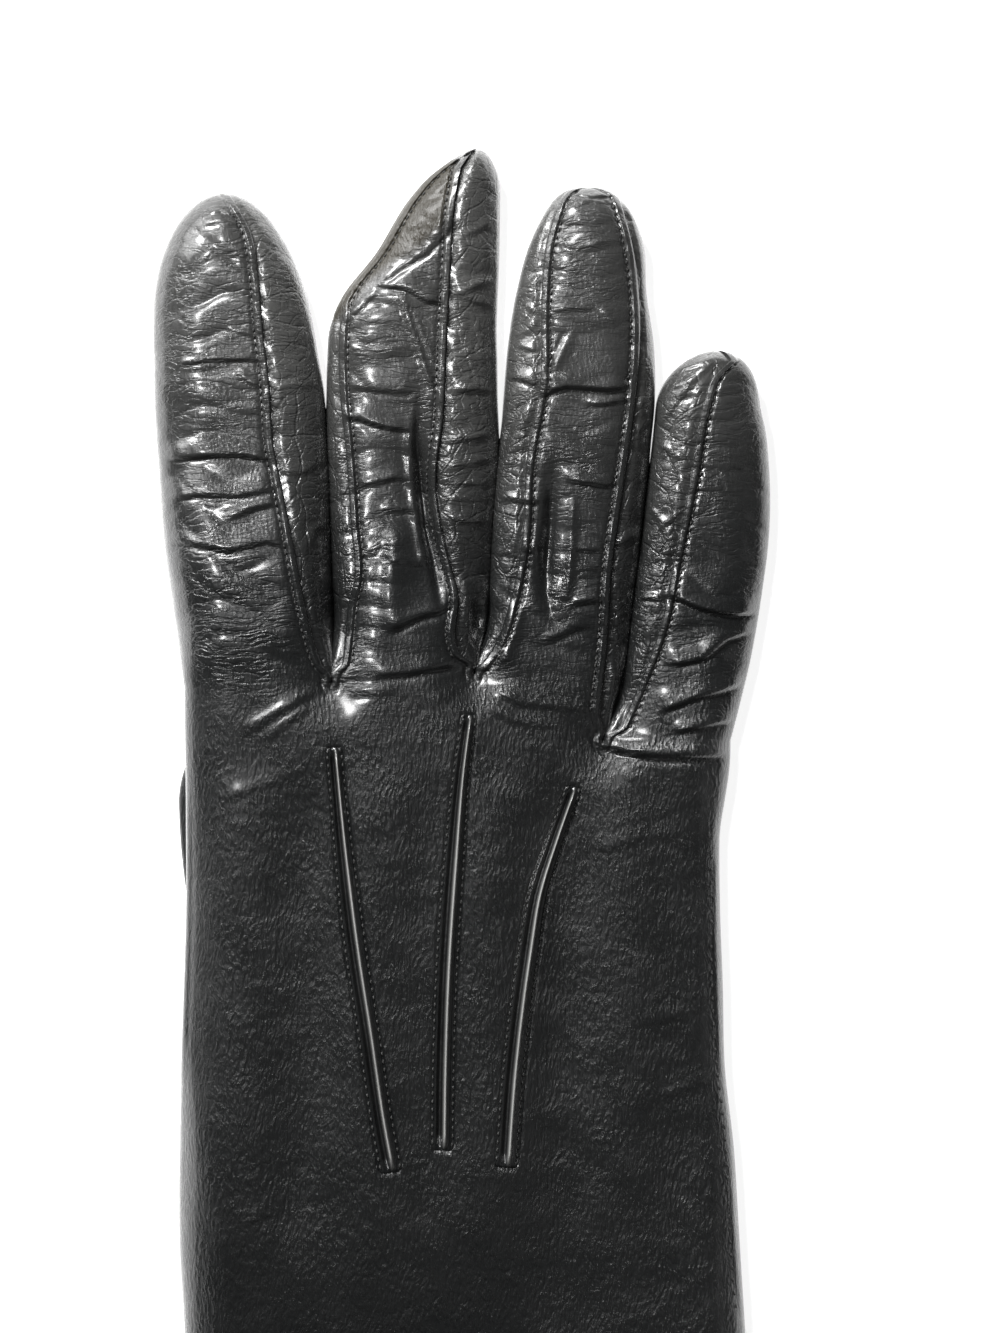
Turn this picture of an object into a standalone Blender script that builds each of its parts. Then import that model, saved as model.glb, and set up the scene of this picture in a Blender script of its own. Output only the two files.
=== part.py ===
"""Leather opera glove for the right hand, lying flat with its back up and its thumb tucked under the palm.

Metres, +Z up. The fingers point along +Y and the cuff's mouth faces -Y. The trank is the one skin of the
back, the palm and the arm. It is built from grids that follow the fingers, the hand and the arm, and a wall
is given to it inwards. The forked side strips between the fingers, the thumb and the three stitched ribs
are pieces of their own.
"""

import functools
import math
from collections import namedtuple

import bmesh
import bpy
import numpy as np
from mathutils import Vector
from mathutils.bvhtree import BVHTree

# Overall sizes
PALM_WIDTH = 0.086
HAND_LENGTH = 0.103
FINGER_LENGTH = 0.0824
ARM_LENGTH = 0.375
CUFF_WIDTH = 0.136

# Thicknesses of the flattened glove, from the surface that it lies on
PALM_THICKNESS = 0.0098
FINGER_THICKNESS = 0.01
CUFF_THICKNESS = 0.0112
EDGE_HEIGHT = 0.0042

# How the skin rolls over at its edges
TOP_ROLL = 0.0085
BOTTOM_ROLL = 0.0042
TIP_ROLL = 0.0095
ROLL_POWER = 2.2
CROTCH_SHARE = 0.55

# Leather and seams
WALL = 0.001
SEAM_GAP = 0.0006
FINGER_GAP = 0.0008
BOTTOM_SEAM_INSET = 0.0052
CROTCH_TUCK = 0.0014

# Thumb
THUMB_LENGTH = 0.075
THUMB_WIDTH = 0.029
THUMB_THICKNESS = 0.003
THUMB_ROLL = 0.0042
THUMB_CLEARANCE = 0.0003
THUMB_HOLE_WIDTH = 0.014
THUMB_HOLE_LENGTH = 0.026
PALM_RAMP = 0.008
BACK_RAMP = 0.034

# Stitched ribs on the back
RIB_WIDTH = 0.0024
RIB_HEIGHT = 0.0011
RIB_CLEARANCE = 0.0004
RIB_END_WIDTH = 0.35
RIB_CROWN_SHARE = 1 / 3

# How the columns crowd towards the edges, and where one thickness blends into the next
CROWDING = 0.55
FINGER_BLEND = 0.3
WRIST_START = 0.6
INSET_LIMIT = 0.3

# Fineness of the measured lines and of the thumb's hole, and the distance within which points are welded
THUMB_SAMPLES = 31
SIDE_SAMPLES = 12
HOLE_SIDES = 20
WELD = 1e-6

LEATHER_ROUGHNESS = 0.42
SMOOTH_ANGLE = math.radians(40)

Finger = namedtuple("Finger", "name length width thickness tip_start tip_power columns edges")
Edge = namedtuple("Edge", "along left right seam_left seam_right")
Crotch = namedtuple("Crotch", "across drop")
HandRow = namedtuple("HandRow", "along left right")
Flare = namedtuple("Flare", "along share drift")
Fold = namedtuple("Fold", "place along_a across_a along_b across_b depth width")
ThumbRow = namedtuple("ThumbRow", "along centre width")
RibPoint = namedtuple("RibPoint", "along across")

# Where the fingers part, as shares of the palm's width and the hand's length.
# The outer two are on the hand's own edges.
CROTCHES = [
    Crotch(-0.501, 0.027),
    Crotch(-0.234, 0.015),
    Crotch(0.024, 0.000),
    Crotch(0.256, 0.103),
    Crotch(0.488, 0.106),
]

# The fingers. Length, width and thickness are shares of the named sizes. A row up the finger gives its
# edges, in shares of its width from the middle of its root, and its top seams, in shares of the way from
# edge to edge.
FINGERS = [
    Finger(
        "index", 0.932, 0.308, 1.12, 0.68, 2.0, 6,
        [
            Edge(0.00, -0.432, 0.432, 0.0, 1.000),
            Edge(0.15, -0.500, 0.436, 0.0, 0.850),
            Edge(0.30, -0.562, 0.420, 0.0, 0.780),
            Edge(0.45, -0.594, 0.408, 0.0, 0.710),
            Edge(0.60, -0.620, 0.385, 0.0, 0.684),
            Edge(0.68, -0.623, 0.345, 0.0, 0.686),
            Edge(0.85, -0.662, 0.302, 0.0, 0.720),
            Edge(1.00, -0.680, 0.279, 0.0, 0.800),
        ],
    ),
    Finger(
        "middle", 1.000, 0.308, 1.00, 0.93, 2.0, 7,
        [
            Edge(0.00, -0.418, 0.418, 0.000, 1.000),
            Edge(0.10, -0.405, 0.493, 0.100, 0.810),
            Edge(0.20, -0.418, 0.512, 0.118, 0.745),
            Edge(0.30, -0.430, 0.530, 0.115, 0.674),
            Edge(0.40, -0.440, 0.550, 0.090, 0.635),
            Edge(0.50, -0.455, 0.555, 0.073, 0.677),
            Edge(0.60, -0.444, 0.553, 0.062, 0.695),
            Edge(0.66, -0.420, 0.549, 0.060, 0.693),
            Edge(0.72, -0.340, 0.556, 0.050, 0.680),
            Edge(0.80, -0.142, 0.565, 0.050, 0.630),
            Edge(0.90, 0.044, 0.570, 0.050, 0.540),
            Edge(1.00, 0.300, 0.570, 0.050, 0.400),
        ],
    ),
    Finger(
        "ring", 0.981, 0.272, 1.00, 0.94, 3.0, 7,
        [
            Edge(0.00, -0.427, 0.427, 0.000, 1.000),
            Edge(0.10, -0.340, 0.557, 0.057, 0.860),
            Edge(0.20, -0.327, 0.610, 0.166, 0.845),
            Edge(0.30, -0.313, 0.653, 0.203, 0.829),
            Edge(0.40, -0.287, 0.690, 0.187, 0.844),
            Edge(0.50, -0.257, 0.740, 0.195, 0.859),
            Edge(0.60, -0.233, 0.777, 0.231, 0.878),
            Edge(0.70, -0.203, 0.770, 0.226, 0.900),
            Edge(0.80, -0.147, 0.720, 0.196, 0.920),
            Edge(0.90, -0.047, 0.673, 0.157, 0.925),
            Edge(0.94, 0.020, 0.620, 0.130, 0.920),
            Edge(1.00, 0.140, 0.487, 0.100, 0.900),
        ],
    ),
    Finger(
        "little", 0.739, 0.217, 0.96, 0.86, 2.0, 6,
        [
            Edge(0.00, -0.533, 0.533, 0.000, 1.0),
            Edge(0.10, -0.410, 0.617, 0.118, 1.0),
            Edge(0.20, -0.337, 0.696, 0.167, 1.0),
            Edge(0.30, -0.302, 0.758, 0.230, 1.0),
            Edge(0.40, -0.258, 0.808, 0.252, 1.0),
            Edge(0.50, -0.221, 0.850, 0.286, 1.0),
            Edge(0.60, -0.190, 0.867, 0.313, 1.0),
            Edge(0.70, -0.148, 0.858, 0.325, 1.0),
            Edge(0.80, -0.112, 0.825, 0.375, 1.0),
            Edge(0.86, -0.092, 0.783, 0.430, 1.0),
            Edge(1.00, 0.000, 0.833, 0.600, 1.0),
        ],
    ),
]

# Rows up a finger, as shares of its length, closer together at the crotch and where the tip rounds off.
FINGER_ROWS = [0, 0.012, 0.05, 0.11, 0.18, 0.26, 0.34, 0.42, 0.50]
FINGER_ROWS += [0.58, 0.66, 0.74, 0.81, 0.87, 0.92, 0.955, 0.982, 1]
SIDE_TAPER_START = 0.86
SIDE_TAPER_END = 0.955
CROTCH_REACH = 0.12
SIDE_STEPS = 5

# The hand's edges below the fingers, as shares of its length and of the palm's width.
HAND_EDGES = [
    HandRow(0.00, -0.501, 0.540),
    HandRow(0.11, -0.499, 0.486),
    HandRow(0.22, -0.498, 0.470),
    HandRow(0.35, -0.498, 0.469),
    HandRow(0.47, -0.502, 0.474),
    HandRow(0.60, -0.508, 0.478),
    HandRow(0.72, -0.512, 0.494),
    HandRow(0.84, -0.513, 0.503),
    HandRow(1.00, -0.503, 0.515),
]
HAND_STEPS = 12

# The arm: how far its width has gone from the hand's to the cuff's, and its sideways drift in cuff widths.
ARM_FLARE = [
    Flare(0.00, 0.00, 0.00),
    Flare(0.15, 0.08, 0.01),
    Flare(0.35, 0.34, 0.03),
    Flare(0.60, 0.68, 0.02),
    Flare(0.80, 0.90, 0.00),
    Flare(1.00, 1.00, 0.00),
]
ARM_STEPS = 7

# Main folds pressed into the back, each a line in one finger or in the hand. Ends are shares up and across
# it, depth is a share of its thickness, and width a share of its own width.
FOLDS = [
    Fold("index", 0.48, 0.05, 0.47, 0.62, 0.14, 0.20),
    Fold("index", 0.29, 0.05, 0.31, 0.75, 0.16, 0.20),
    Fold("middle", 0.78, 0.30, 0.68, 0.62, 0.15, 0.20),
    Fold("middle", 0.52, 0.56, 0.16, 0.70, 0.28, 0.16),
    Fold("middle", 0.34, 0.10, 0.33, 0.50, 0.12, 0.20),
    Fold("ring", 0.60, 0.15, 0.58, 0.88, 0.14, 0.20),
    Fold("ring", 0.46, 0.44, 0.20, 0.46, 0.30, 0.18),
    Fold("little", 0.36, 0.20, 0.32, 0.92, 0.20, 0.24),
    Fold("little", 0.15, 0.30, 0.22, 0.90, 0.12, 0.20),
    Fold("hand", 0.11, 0.78, 0.12, 0.95, 0.16, 0.06),
    Fold("hand", 0.05, 0.32, 0.03, 0.48, 0.12, 0.05),
]

# The thumb's middle line, in palm widths across, and its width, at shares of its length from its root.
THUMB = [
    ThumbRow(0.00, -0.240, 0.78),
    ThumbRow(0.20, -0.262, 0.80),
    ThumbRow(0.40, -0.300, 0.96),
    ThumbRow(0.60, -0.333, 1.00),
    ThumbRow(0.78, -0.348, 0.99),
    ThumbRow(1.00, -0.352, 0.92),
]
THUMB_TIP_DROP = 0.041
THUMB_ROUND_TIP = 0.22
THUMB_ROUND_ROOT = 0.14
THUMB_HOLE_ALONG = 0.27
THUMB_STEPS = 12
THUMB_COLUMNS = 6

# The three ribs, each from its upper end down, as shares of the hand's length and of the palm's width.
RIBS = {
    "point_rib_index": [
        RibPoint(0.112, -0.229), RibPoint(0.275, -0.210), RibPoint(0.411, -0.190),
        RibPoint(0.546, -0.165), RibPoint(0.681, -0.141), RibPoint(0.752, -0.125),
    ],
    "point_rib_middle": [
        RibPoint(0.062, 0.015), RibPoint(0.151, 0.001), RibPoint(0.275, -0.012),
        RibPoint(0.464, -0.027), RibPoint(0.590, -0.032), RibPoint(0.720, -0.034),
    ],
    "point_rib_ring": [
        RibPoint(0.172, 0.204), RibPoint(0.254, 0.169), RibPoint(0.330, 0.140),
        RibPoint(0.422, 0.121), RibPoint(0.600, 0.094), RibPoint(0.745, 0.081),
    ],
}
RIB_STEPS = 18
RIB_COLUMNS = 3

SKIN_BLACK = (0.012, 0.012, 0.013, 1.0)
SIDE_BLACK = (0.016, 0.016, 0.018, 1.0)
RIB_BLACK = (0.022, 0.022, 0.024, 1.0)


def follow(rows, at, name):
    """The named column of a table at any place along it, on a smooth curve through its rows."""
    places = np.array([row.along for row in rows])
    values = np.array([getattr(row, name) for row in rows])
    slopes = np.gradient(values, places)
    at = min(max(at, places[0]), places[-1])
    i = min(int(np.searchsorted(places, at, side="right")) - 1, len(rows) - 2)
    step = places[i + 1] - places[i]
    t = (at - places[i]) / step
    rise = values[i + 1] - values[i]
    bend = step * t * (1 - t) * (slopes[i] * (1 - t) - slopes[i + 1] * t)
    return float(values[i] + rise * t * t * (3 - 2 * t) + bend)


def ease(t):
    """0 before 0, 1 after 1, and smooth between."""
    t = min(max(t, 0.0), 1.0)
    return t * t * (3 - 2 * t)


def roll(distance, radius):
    """The rounded rise of a soft edge: 0 at the edge, 1 from one radius in."""
    t = min(max(distance / radius, 0.0), 1.0)
    return (1 - (1 - t) ** ROLL_POWER) ** (1 / ROLL_POWER)


def crowd(t):
    """Shares from 0 to 1 that lie closer together at both ends."""
    return t - CROWDING * math.sin(2 * math.pi * t) / (2 * math.pi)


def crotch_at(i):
    """Where two fingers part, in plan."""
    return CROTCHES[i].across * PALM_WIDTH, -CROTCHES[i].drop * HAND_LENGTH


def inner_crotches():
    """The three crotches between fingers, in plan."""
    return [crotch_at(i) for i in range(1, len(CROTCHES) - 1)]


def finger_edges(i, v):
    """A finger's left and right edge at a share v of the way up it."""
    finger = FINGERS[i]
    width = finger.width * PALM_WIDTH
    root_left, root_right = crotch_at(i)[0], crotch_at(i + 1)[0]
    middle = (root_left + root_right) / 2
    at_root = 1 - ease(v / FINGER_ROWS[1])
    half_gap = FINGER_GAP / 2
    left = middle + follow(finger.edges, v, "left") * width + half_gap * (i > 0)
    right = middle + follow(finger.edges, v, "right") * width - half_gap * (i < len(FINGERS) - 1)
    left += (root_left - left) * at_root
    right += (root_right - right) * at_root
    past = min(max((v - finger.tip_start) / (1 - finger.tip_start), 0.0), 1.0)
    share = (1 - past**finger.tip_power) ** (1 / finger.tip_power)
    centre, half = (left + right) / 2, (right - left) / 2 * share
    return centre - half, centre + half


def finger_point(i, v, s):
    """Plan position at a share v up finger i and a share s across it."""
    left, right = finger_edges(i, v)
    left_y, right_y = crotch_at(i)[1], crotch_at(i + 1)[1]
    root_y = (left_y + right_y) / 2
    lean = (left_y + (right_y - left_y) * s - root_y) * (1 - v) ** 2
    return left + (right - left) * s, root_y + v * FINGERS[i].length * FINGER_LENGTH + lean


def seam_shares(i, v):
    """Where a finger's two top seams lie across it. They run out to its edges at the tip."""
    finger = FINGERS[i]
    out = ease((v - SIDE_TAPER_START) / (SIDE_TAPER_END - SIDE_TAPER_START))
    left = follow(finger.edges, v, "seam_left") * (1 - out)
    right = follow(finger.edges, v, "seam_right")
    return left, right + (1 - right) * out


def bottom_seam_shares(i, v):
    """Where a finger's two bottom seams lie across it."""
    left, right = finger_edges(i, v)
    out = ease((v - SIDE_TAPER_START) / (SIDE_TAPER_END - SIDE_TAPER_START))
    reach = BOTTOM_SEAM_INSET * ease(v / CROTCH_REACH) * (1 - out)
    width = right - left
    inset = min(reach, INSET_LIMIT * width) / width if width > 0 else 0.0
    return inset * (i > 0), 1 - inset * (i < len(FINGERS) - 1)


def hand_edges(y):
    """The hand's or arm's left and right edge at a level y below the finger roots."""
    along = -y / HAND_LENGTH
    left = follow(HAND_EDGES, along, "left") * PALM_WIDTH
    right = follow(HAND_EDGES, along, "right") * PALM_WIDTH
    down = (-y - HAND_LENGTH) / ARM_LENGTH
    grown = (CUFF_WIDTH - (right - left)) * follow(ARM_FLARE, down, "share")
    drift = follow(ARM_FLARE, down, "drift") * CUFF_WIDTH
    return left - grown / 2 + drift, right + grown / 2 + drift


def root_shares():
    """The crotches as shares of the way across the hand."""
    places = [crotch_at(i)[0] for i in range(len(CROTCHES))]
    return [(x - places[0]) / (places[-1] - places[0]) for x in places]


def hand_point(level, across):
    """Plan position in the hand or arm. The level is 0 to 1 down the hand and 1 to 2 down the arm."""
    top = float(np.interp(across, root_shares(), [crotch_at(i)[1] for i in range(len(CROTCHES))]))
    y = top * (1 - level) - HAND_LENGTH * level if level <= 1 else -HAND_LENGTH - ARM_LENGTH * (level - 1)
    left, right = hand_edges(y)
    at_root = 1 - ease(level * HAND_STEPS / 2)
    left += (crotch_at(0)[0] - left) * at_root
    right += (crotch_at(len(CROTCHES) - 1)[0] - right) * at_root
    return left + (right - left) * across, y


def hand_columns():
    """Shares across the hand at which its columns run, the same ones that the fingers' columns start from."""
    shares = root_shares()
    columns = [0.0]
    for i, finger in enumerate(FINGERS):
        span = shares[i + 1] - shares[i]
        columns += [shares[i] + span * crowd(j / finger.columns) for j in range(1, finger.columns + 1)]
    return columns


def thumb_line(t):
    """The thumb's middle, level and half-width at a share t of the way from its root."""
    x = follow(THUMB, t, "centre") * PALM_WIDTH
    y = -THUMB_TIP_DROP * HAND_LENGTH - (1 - t) * THUMB_LENGTH
    tip = min(max((t - 1 + THUMB_ROUND_TIP) / THUMB_ROUND_TIP, 0.0), 1.0)
    root = min(max((THUMB_ROUND_ROOT - t) / THUMB_ROUND_ROOT, 0.0), 1.0)
    share = math.sqrt(1 - tip**2) * math.sqrt(1 - root**2)
    return x, y, follow(THUMB, t, "width") * THUMB_WIDTH / 2 * share


@functools.cache
def thumb_outline():
    """The thumb's middle line and half-widths, close enough together to measure a distance to."""
    return [thumb_line(t) for t in np.linspace(0.0, 1.0, THUMB_SAMPLES)]


def thumb_lift(x, y, ramp):
    """Share by which the thumb below lifts the skin: 1 over it and a little beyond, 0 past the ramp."""
    past = min(math.hypot(x - centre, y - level) - half for centre, level, half in thumb_outline())
    return 1 - ease((past - THUMB_ROLL) / ramp)


@functools.cache
def fold_lines(place):
    """The folds of one finger or of the hand: both ends in plan, depth and half-width."""
    names = [finger.name for finger in FINGERS]
    lines = []
    for fold in FOLDS:
        if fold.place != place:
            continue
        if place in names:
            i = names.index(place)
            ends = [
                finger_point(i, fold.along_a, fold.across_a),
                finger_point(i, fold.along_b, fold.across_b),
            ]
            thickness, width = FINGER_THICKNESS, FINGERS[i].width * PALM_WIDTH
        else:
            ends = [hand_point(fold.along_a, fold.across_a), hand_point(fold.along_b, fold.across_b)]
            thickness, width = PALM_THICKNESS, PALM_WIDTH
        lines.append((*ends, fold.depth * thickness, fold.width * width / 2))
    return lines


def fold_depth(x, y, place):
    """How deep the folds of one finger or of the hand press the back in at a point."""
    total = 0.0
    for (ax, ay), (bx, by), depth, half in fold_lines(place):
        span = (bx - ax) ** 2 + (by - ay) ** 2
        t = min(max(((x - ax) * (bx - ax) + (y - ay) * (by - ay)) / span, 0.0), 1.0)
        gap = math.hypot(x - ax - t * (bx - ax), y - ay - t * (by - ay))
        total += depth * math.exp(-((gap / half) ** 2))
    return total


def skin_levels(x, y, thickness, edge_gap, tip_gap, place):
    """Underside and top level of the skin at a plan point, from how far in it lies and what is below it."""
    raised = THUMB_THICKNESS + THUMB_CLEARANCE
    under = raised * thumb_lift(x, y, PALM_RAMP)
    over = raised * thumb_lift(x, y, BACK_RAMP)
    crotch_gap = min(math.hypot(x - cx, y - cy) for cx, cy in inner_crotches())
    kept = CROTCH_SHARE * math.exp(-((crotch_gap / BOTTOM_ROLL) ** 2))
    rise = kept + (1 - kept) * roll(edge_gap, TOP_ROLL) * roll(tip_gap, TIP_ROLL)
    sink = kept + (1 - kept) * roll(edge_gap, BOTTOM_ROLL) * roll(tip_gap, BOTTOM_ROLL)
    edge = EDGE_HEIGHT + under
    top = edge + (thickness + over - fold_depth(x, y, place) - edge) * rise
    return edge + (under - edge) * sink, max(top, edge)


def finger_levels(i, v, s):
    """Underside and top of the skin on finger i."""
    finger = FINGERS[i]
    if v == 0:
        shares = root_shares()
        return hand_levels(0.0, shares[i] + (shares[i + 1] - shares[i]) * s)
    x, y = finger_point(i, v, s)
    left, right = finger_edges(i, v)
    own = FINGER_THICKNESS * finger.thickness
    thickness = PALM_THICKNESS + (own - PALM_THICKNESS) * ease(v / FINGER_BLEND)
    tip_gap = (1 - v) * finger.length * FINGER_LENGTH
    return skin_levels(x, y, thickness, min(x - left, right - x), tip_gap, finger.name)


def hand_levels(level, across):
    """Underside and top of the skin in the hand or arm."""
    x, y = hand_point(level, across)
    left, _ = hand_point(level, 0.0)
    right, _ = hand_point(level, 1.0)
    gap = min([x - left, right - x] + [math.hypot(x - cx, y - cy) for cx, cy in inner_crotches()])
    thickness = PALM_THICKNESS + (CUFF_THICKNESS - PALM_THICKNESS) * ease(level - WRIST_START)
    return skin_levels(x, y, thickness, gap, TIP_ROLL, "hand")


def add_grid(mesh, columns, rows, place, flip=False):
    """Adds a grid and moves each of its points to where place says, from its column and row numbers."""
    made = bmesh.ops.create_grid(mesh, x_segments=columns, y_segments=rows, size=0.5)["verts"]
    for vert in made:
        vert.co = place(round((vert.co.x + 0.5) * columns), round((vert.co.y + 0.5) * rows))
    if flip:
        bmesh.ops.reverse_faces(mesh, faces=list({face for vert in made for face in vert.link_faces}))


def close_seams(mesh):
    """Welds the grids of one skin where their edges meet."""
    bmesh.ops.remove_doubles(mesh, verts=mesh.verts, dist=WELD)
    bmesh.ops.dissolve_degenerate(mesh, edges=mesh.edges, dist=WELD)


def new_object(name, mesh, colour, collection):
    """An object of its own with its own leather from a finished bmesh."""
    data = bpy.data.meshes.new(name)
    mesh.to_mesh(data)
    mesh.free()
    obj = bpy.data.objects.new(name, data)
    collection.objects.link(obj)
    material = bpy.data.materials.new(name + "_leather")
    material.use_nodes = True
    shader = material.node_tree.nodes["Principled BSDF"]
    shader.inputs["Base Color"].default_value = colour
    shader.inputs["Roughness"].default_value = LEATHER_ROUGHNESS
    shader.inputs["Metallic"].default_value = 0.0
    data.materials.append(material)
    data.shade_smooth()
    data.set_sharp_from_angle(angle=SMOOTH_ANGLE)
    return obj


def give_wall(obj, thickness, outwards=False):
    """Gives an open skin its thickness."""
    wall = obj.modifiers.new("Leather", "SOLIDIFY")
    wall.thickness = thickness
    wall.offset = 1.0 if outwards else -1.0
    wall.use_rim = True


def cut(obj, cutter):
    """Cuts the cutter out of an object."""
    boolean = obj.modifiers.new("Thumb hole", "BOOLEAN")
    boolean.operation = "DIFFERENCE"
    boolean.solver = "EXACT"
    boolean.object = cutter


def make_trank(collection):
    """Back, palm, arm and the front and back of each finger, as one skin."""
    mesh = bmesh.new()
    columns = hand_columns()
    steps = HAND_STEPS + ARM_STEPS

    def hand_place(side):
        def place(column, row):
            down = steps - row
            level = down / HAND_STEPS if down <= HAND_STEPS else 1 + (down - HAND_STEPS) / ARM_STEPS
            return Vector((*hand_point(level, columns[column]), hand_levels(level, columns[column])[side]))

        return place

    def finger_place(i, side):
        def place(column, row):
            v = FINGER_ROWS[row]
            left, right = seam_shares(i, v) if side else bottom_seam_shares(i, v)
            s = left + (right - left) * crowd(column / FINGERS[i].columns)
            return Vector((*finger_point(i, v, s), finger_levels(i, v, s)[side]))

        return place

    for side in (0, 1):
        add_grid(mesh, len(columns) - 1, steps, hand_place(side), flip=side == 0)
        for i, finger in enumerate(FINGERS):
            add_grid(mesh, finger.columns, len(FINGER_ROWS) - 1, finger_place(i, side), flip=side == 0)
    close_seams(mesh)
    trank = new_object("trank", mesh, SKIN_BLACK, collection)
    give_wall(trank, WALL)
    return trank


def side_line(i, v, right_side):
    """Points round one side of a finger, from its top seam over its edge to its bottom seam."""
    top = seam_shares(i, v)[right_side]
    bottom = bottom_seam_shares(i, v)[right_side]
    edge = float(right_side)
    points = []
    for j in range(SIDE_SAMPLES + 1):
        s = edge + (top - edge) * (1 - j / SIDE_SAMPLES) ** 2
        points.append((*finger_point(i, v, s), finger_levels(i, v, s)[1]))
    for j in range(SIDE_SAMPLES + 1):
        s = edge + (bottom - edge) * (j / SIDE_SAMPLES) ** 2
        points.append((*finger_point(i, v, s), finger_levels(i, v, s)[0]))
    return np.array(points)


def trimmed(points, margin, steps):
    """The same line with a margin taken off both ends, in equal steps."""
    lengths = np.concatenate([[0.0], np.cumsum(np.linalg.norm(np.diff(points, axis=0), axis=1))])
    at = np.linspace(margin, lengths[-1] - margin, steps + 1)
    return np.stack([np.interp(at, lengths, points[:, k]) for k in range(3)], axis=1)


def make_fourchette(i, collection):
    """The forked strip between finger i and the next one: up the side of each from their crotch."""
    last = sum(v < SIDE_TAPER_END for v in FINGER_ROWS)
    rows = FINGER_ROWS[:last] + [(FINGER_ROWS[last - 1] + SIDE_TAPER_END) / 2]
    mesh = bmesh.new()
    for finger, right_side in ((i, 1), (i + 1, 0)):
        strip = []
        for v in rows:
            margin = SEAM_GAP + CROTCH_TUCK * ease(1 - v / CROTCH_REACH)
            strip.append(trimmed(side_line(finger, v, right_side), margin, SIDE_STEPS))

        def place(column, row, strip=strip):
            return Vector(strip[row][column])

        add_grid(mesh, SIDE_STEPS, len(rows) - 1, place, flip=not right_side)
    close_seams(mesh)
    name = f"fourchette_{FINGERS[i].name}_{FINGERS[i + 1].name}"
    fourchette = new_object(name, mesh, SIDE_BLACK, collection)
    give_wall(fourchette, WALL)
    return fourchette


def make_thumb(collection):
    """The flattened thumb under the palm, a tube closed at both ends until its hole is cut."""
    mesh = bmesh.new()

    def thumb_place(sign):
        def place(column, row):
            t = (1 - math.cos(math.pi * row / THUMB_STEPS)) / 2
            x, y, half = thumb_line(t)
            across = -math.cos(math.pi * column / THUMB_COLUMNS)
            end_gap = min(t, 1 - t) * THUMB_LENGTH
            swell = roll(half * (1 - abs(across)), THUMB_ROLL) * roll(end_gap, THUMB_ROLL)
            return Vector((x + half * across, y, THUMB_THICKNESS / 2 * (1 + sign * swell)))

        return place

    for sign in (-1, 1):
        add_grid(mesh, THUMB_COLUMNS, THUMB_STEPS, thumb_place(sign), flip=sign < 0)
    close_seams(mesh)
    thumb = new_object("thumb", mesh, SKIN_BLACK, collection)
    give_wall(thumb, WALL)
    return thumb


def make_thumb_cutter(collection):
    """An oval plug through the palm's underside and the thumb's upper wall, where the thumb is set in."""
    x, y, _ = thumb_line(THUMB_HOLE_ALONG)
    low = THUMB_THICKNESS / 2
    high = THUMB_THICKNESS + THUMB_CLEARANCE + 2 * WALL
    mesh = bmesh.new()
    bmesh.ops.create_cone(
        mesh, cap_ends=True, segments=HOLE_SIDES, radius1=0.5, radius2=0.5, depth=high - low
    )
    bmesh.ops.scale(mesh, vec=(THUMB_HOLE_WIDTH, THUMB_HOLE_LENGTH, 1.0), verts=mesh.verts)
    bmesh.ops.translate(mesh, vec=(x, y, (low + high) / 2), verts=mesh.verts)
    cutter = new_object("thumb_hole_cutter", mesh, SKIN_BLACK, collection)
    cutter.hide_render = True
    cutter.display_type = "WIRE"
    return cutter


def make_rib(name, points, back, collection):
    """A stitched rib that lies along the back, crowned across."""
    places = [point.along for point in points]
    mesh = bmesh.new()

    def middle(t):
        along = places[0] + (places[-1] - places[0]) * t
        return Vector((follow(points, along, "across") * PALM_WIDTH, -along * HAND_LENGTH))

    def place(column, row):
        t = 1 - row / RIB_STEPS
        side = (middle(t - 0.01) - middle(t + 0.01)).normalized().orthogonal()
        across = 2 * column / RIB_COLUMNS - 1
        taper = RIB_END_WIDTH + (1 - RIB_END_WIDTH) * ease(4 * min(t, 1 - t))
        spot = middle(t) - side * across * RIB_WIDTH / 2 * taper
        level = back.ray_cast(Vector((*spot, 1.0)), Vector((0, 0, -1)))[0].z
        crown = RIB_HEIGHT * RIB_CROWN_SHARE * (1 - across**2)
        return Vector((*spot, level + RIB_CLEARANCE + crown))

    add_grid(mesh, RIB_COLUMNS, RIB_STEPS, place)
    rib = new_object(name, mesh, RIB_BLACK, collection)
    give_wall(rib, RIB_HEIGHT * (1 - RIB_CROWN_SHARE), outwards=True)
    return rib


def centre_on_origin(objects):
    """Moves every mesh so that the glove's outline is centred on the origin."""
    corners = [vert.co for obj in objects if not obj.hide_render for vert in obj.data.vertices]
    low = Vector([min(co[k] for co in corners) for k in range(3)])
    high = Vector([max(co[k] for co in corners) for k in range(3)])
    shift = Vector((-(low.x + high.x) / 2, -(low.y + high.y) / 2, -low.z))
    for obj in objects:
        for vert in obj.data.vertices:
            vert.co += shift


def main():
    """Builds the glove in an emptied scene."""
    for obj in list(bpy.data.objects):
        bpy.data.objects.remove(obj)
    glove = bpy.data.collections.new("Opera glove")
    cutters = bpy.data.collections.new("Cutters")
    bpy.context.scene.collection.children.link(glove)
    bpy.context.scene.collection.children.link(cutters)
    trank = make_trank(glove)
    thumb = make_thumb(glove)
    fourchettes = [make_fourchette(i, glove) for i in range(len(FINGERS) - 1)]
    back = BVHTree.FromPolygons(
        [vert.co.copy() for vert in trank.data.vertices],
        [tuple(polygon.vertices) for polygon in trank.data.polygons],
    )
    ribs = [make_rib(name, points, back, glove) for name, points in RIBS.items()]
    cutter = make_thumb_cutter(cutters)
    cut(trank, cutter)
    cut(thumb, cutter)
    centre_on_origin([trank, thumb, *fourchettes, *ribs, cutter])


if __name__ == "__main__":
    main()
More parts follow.
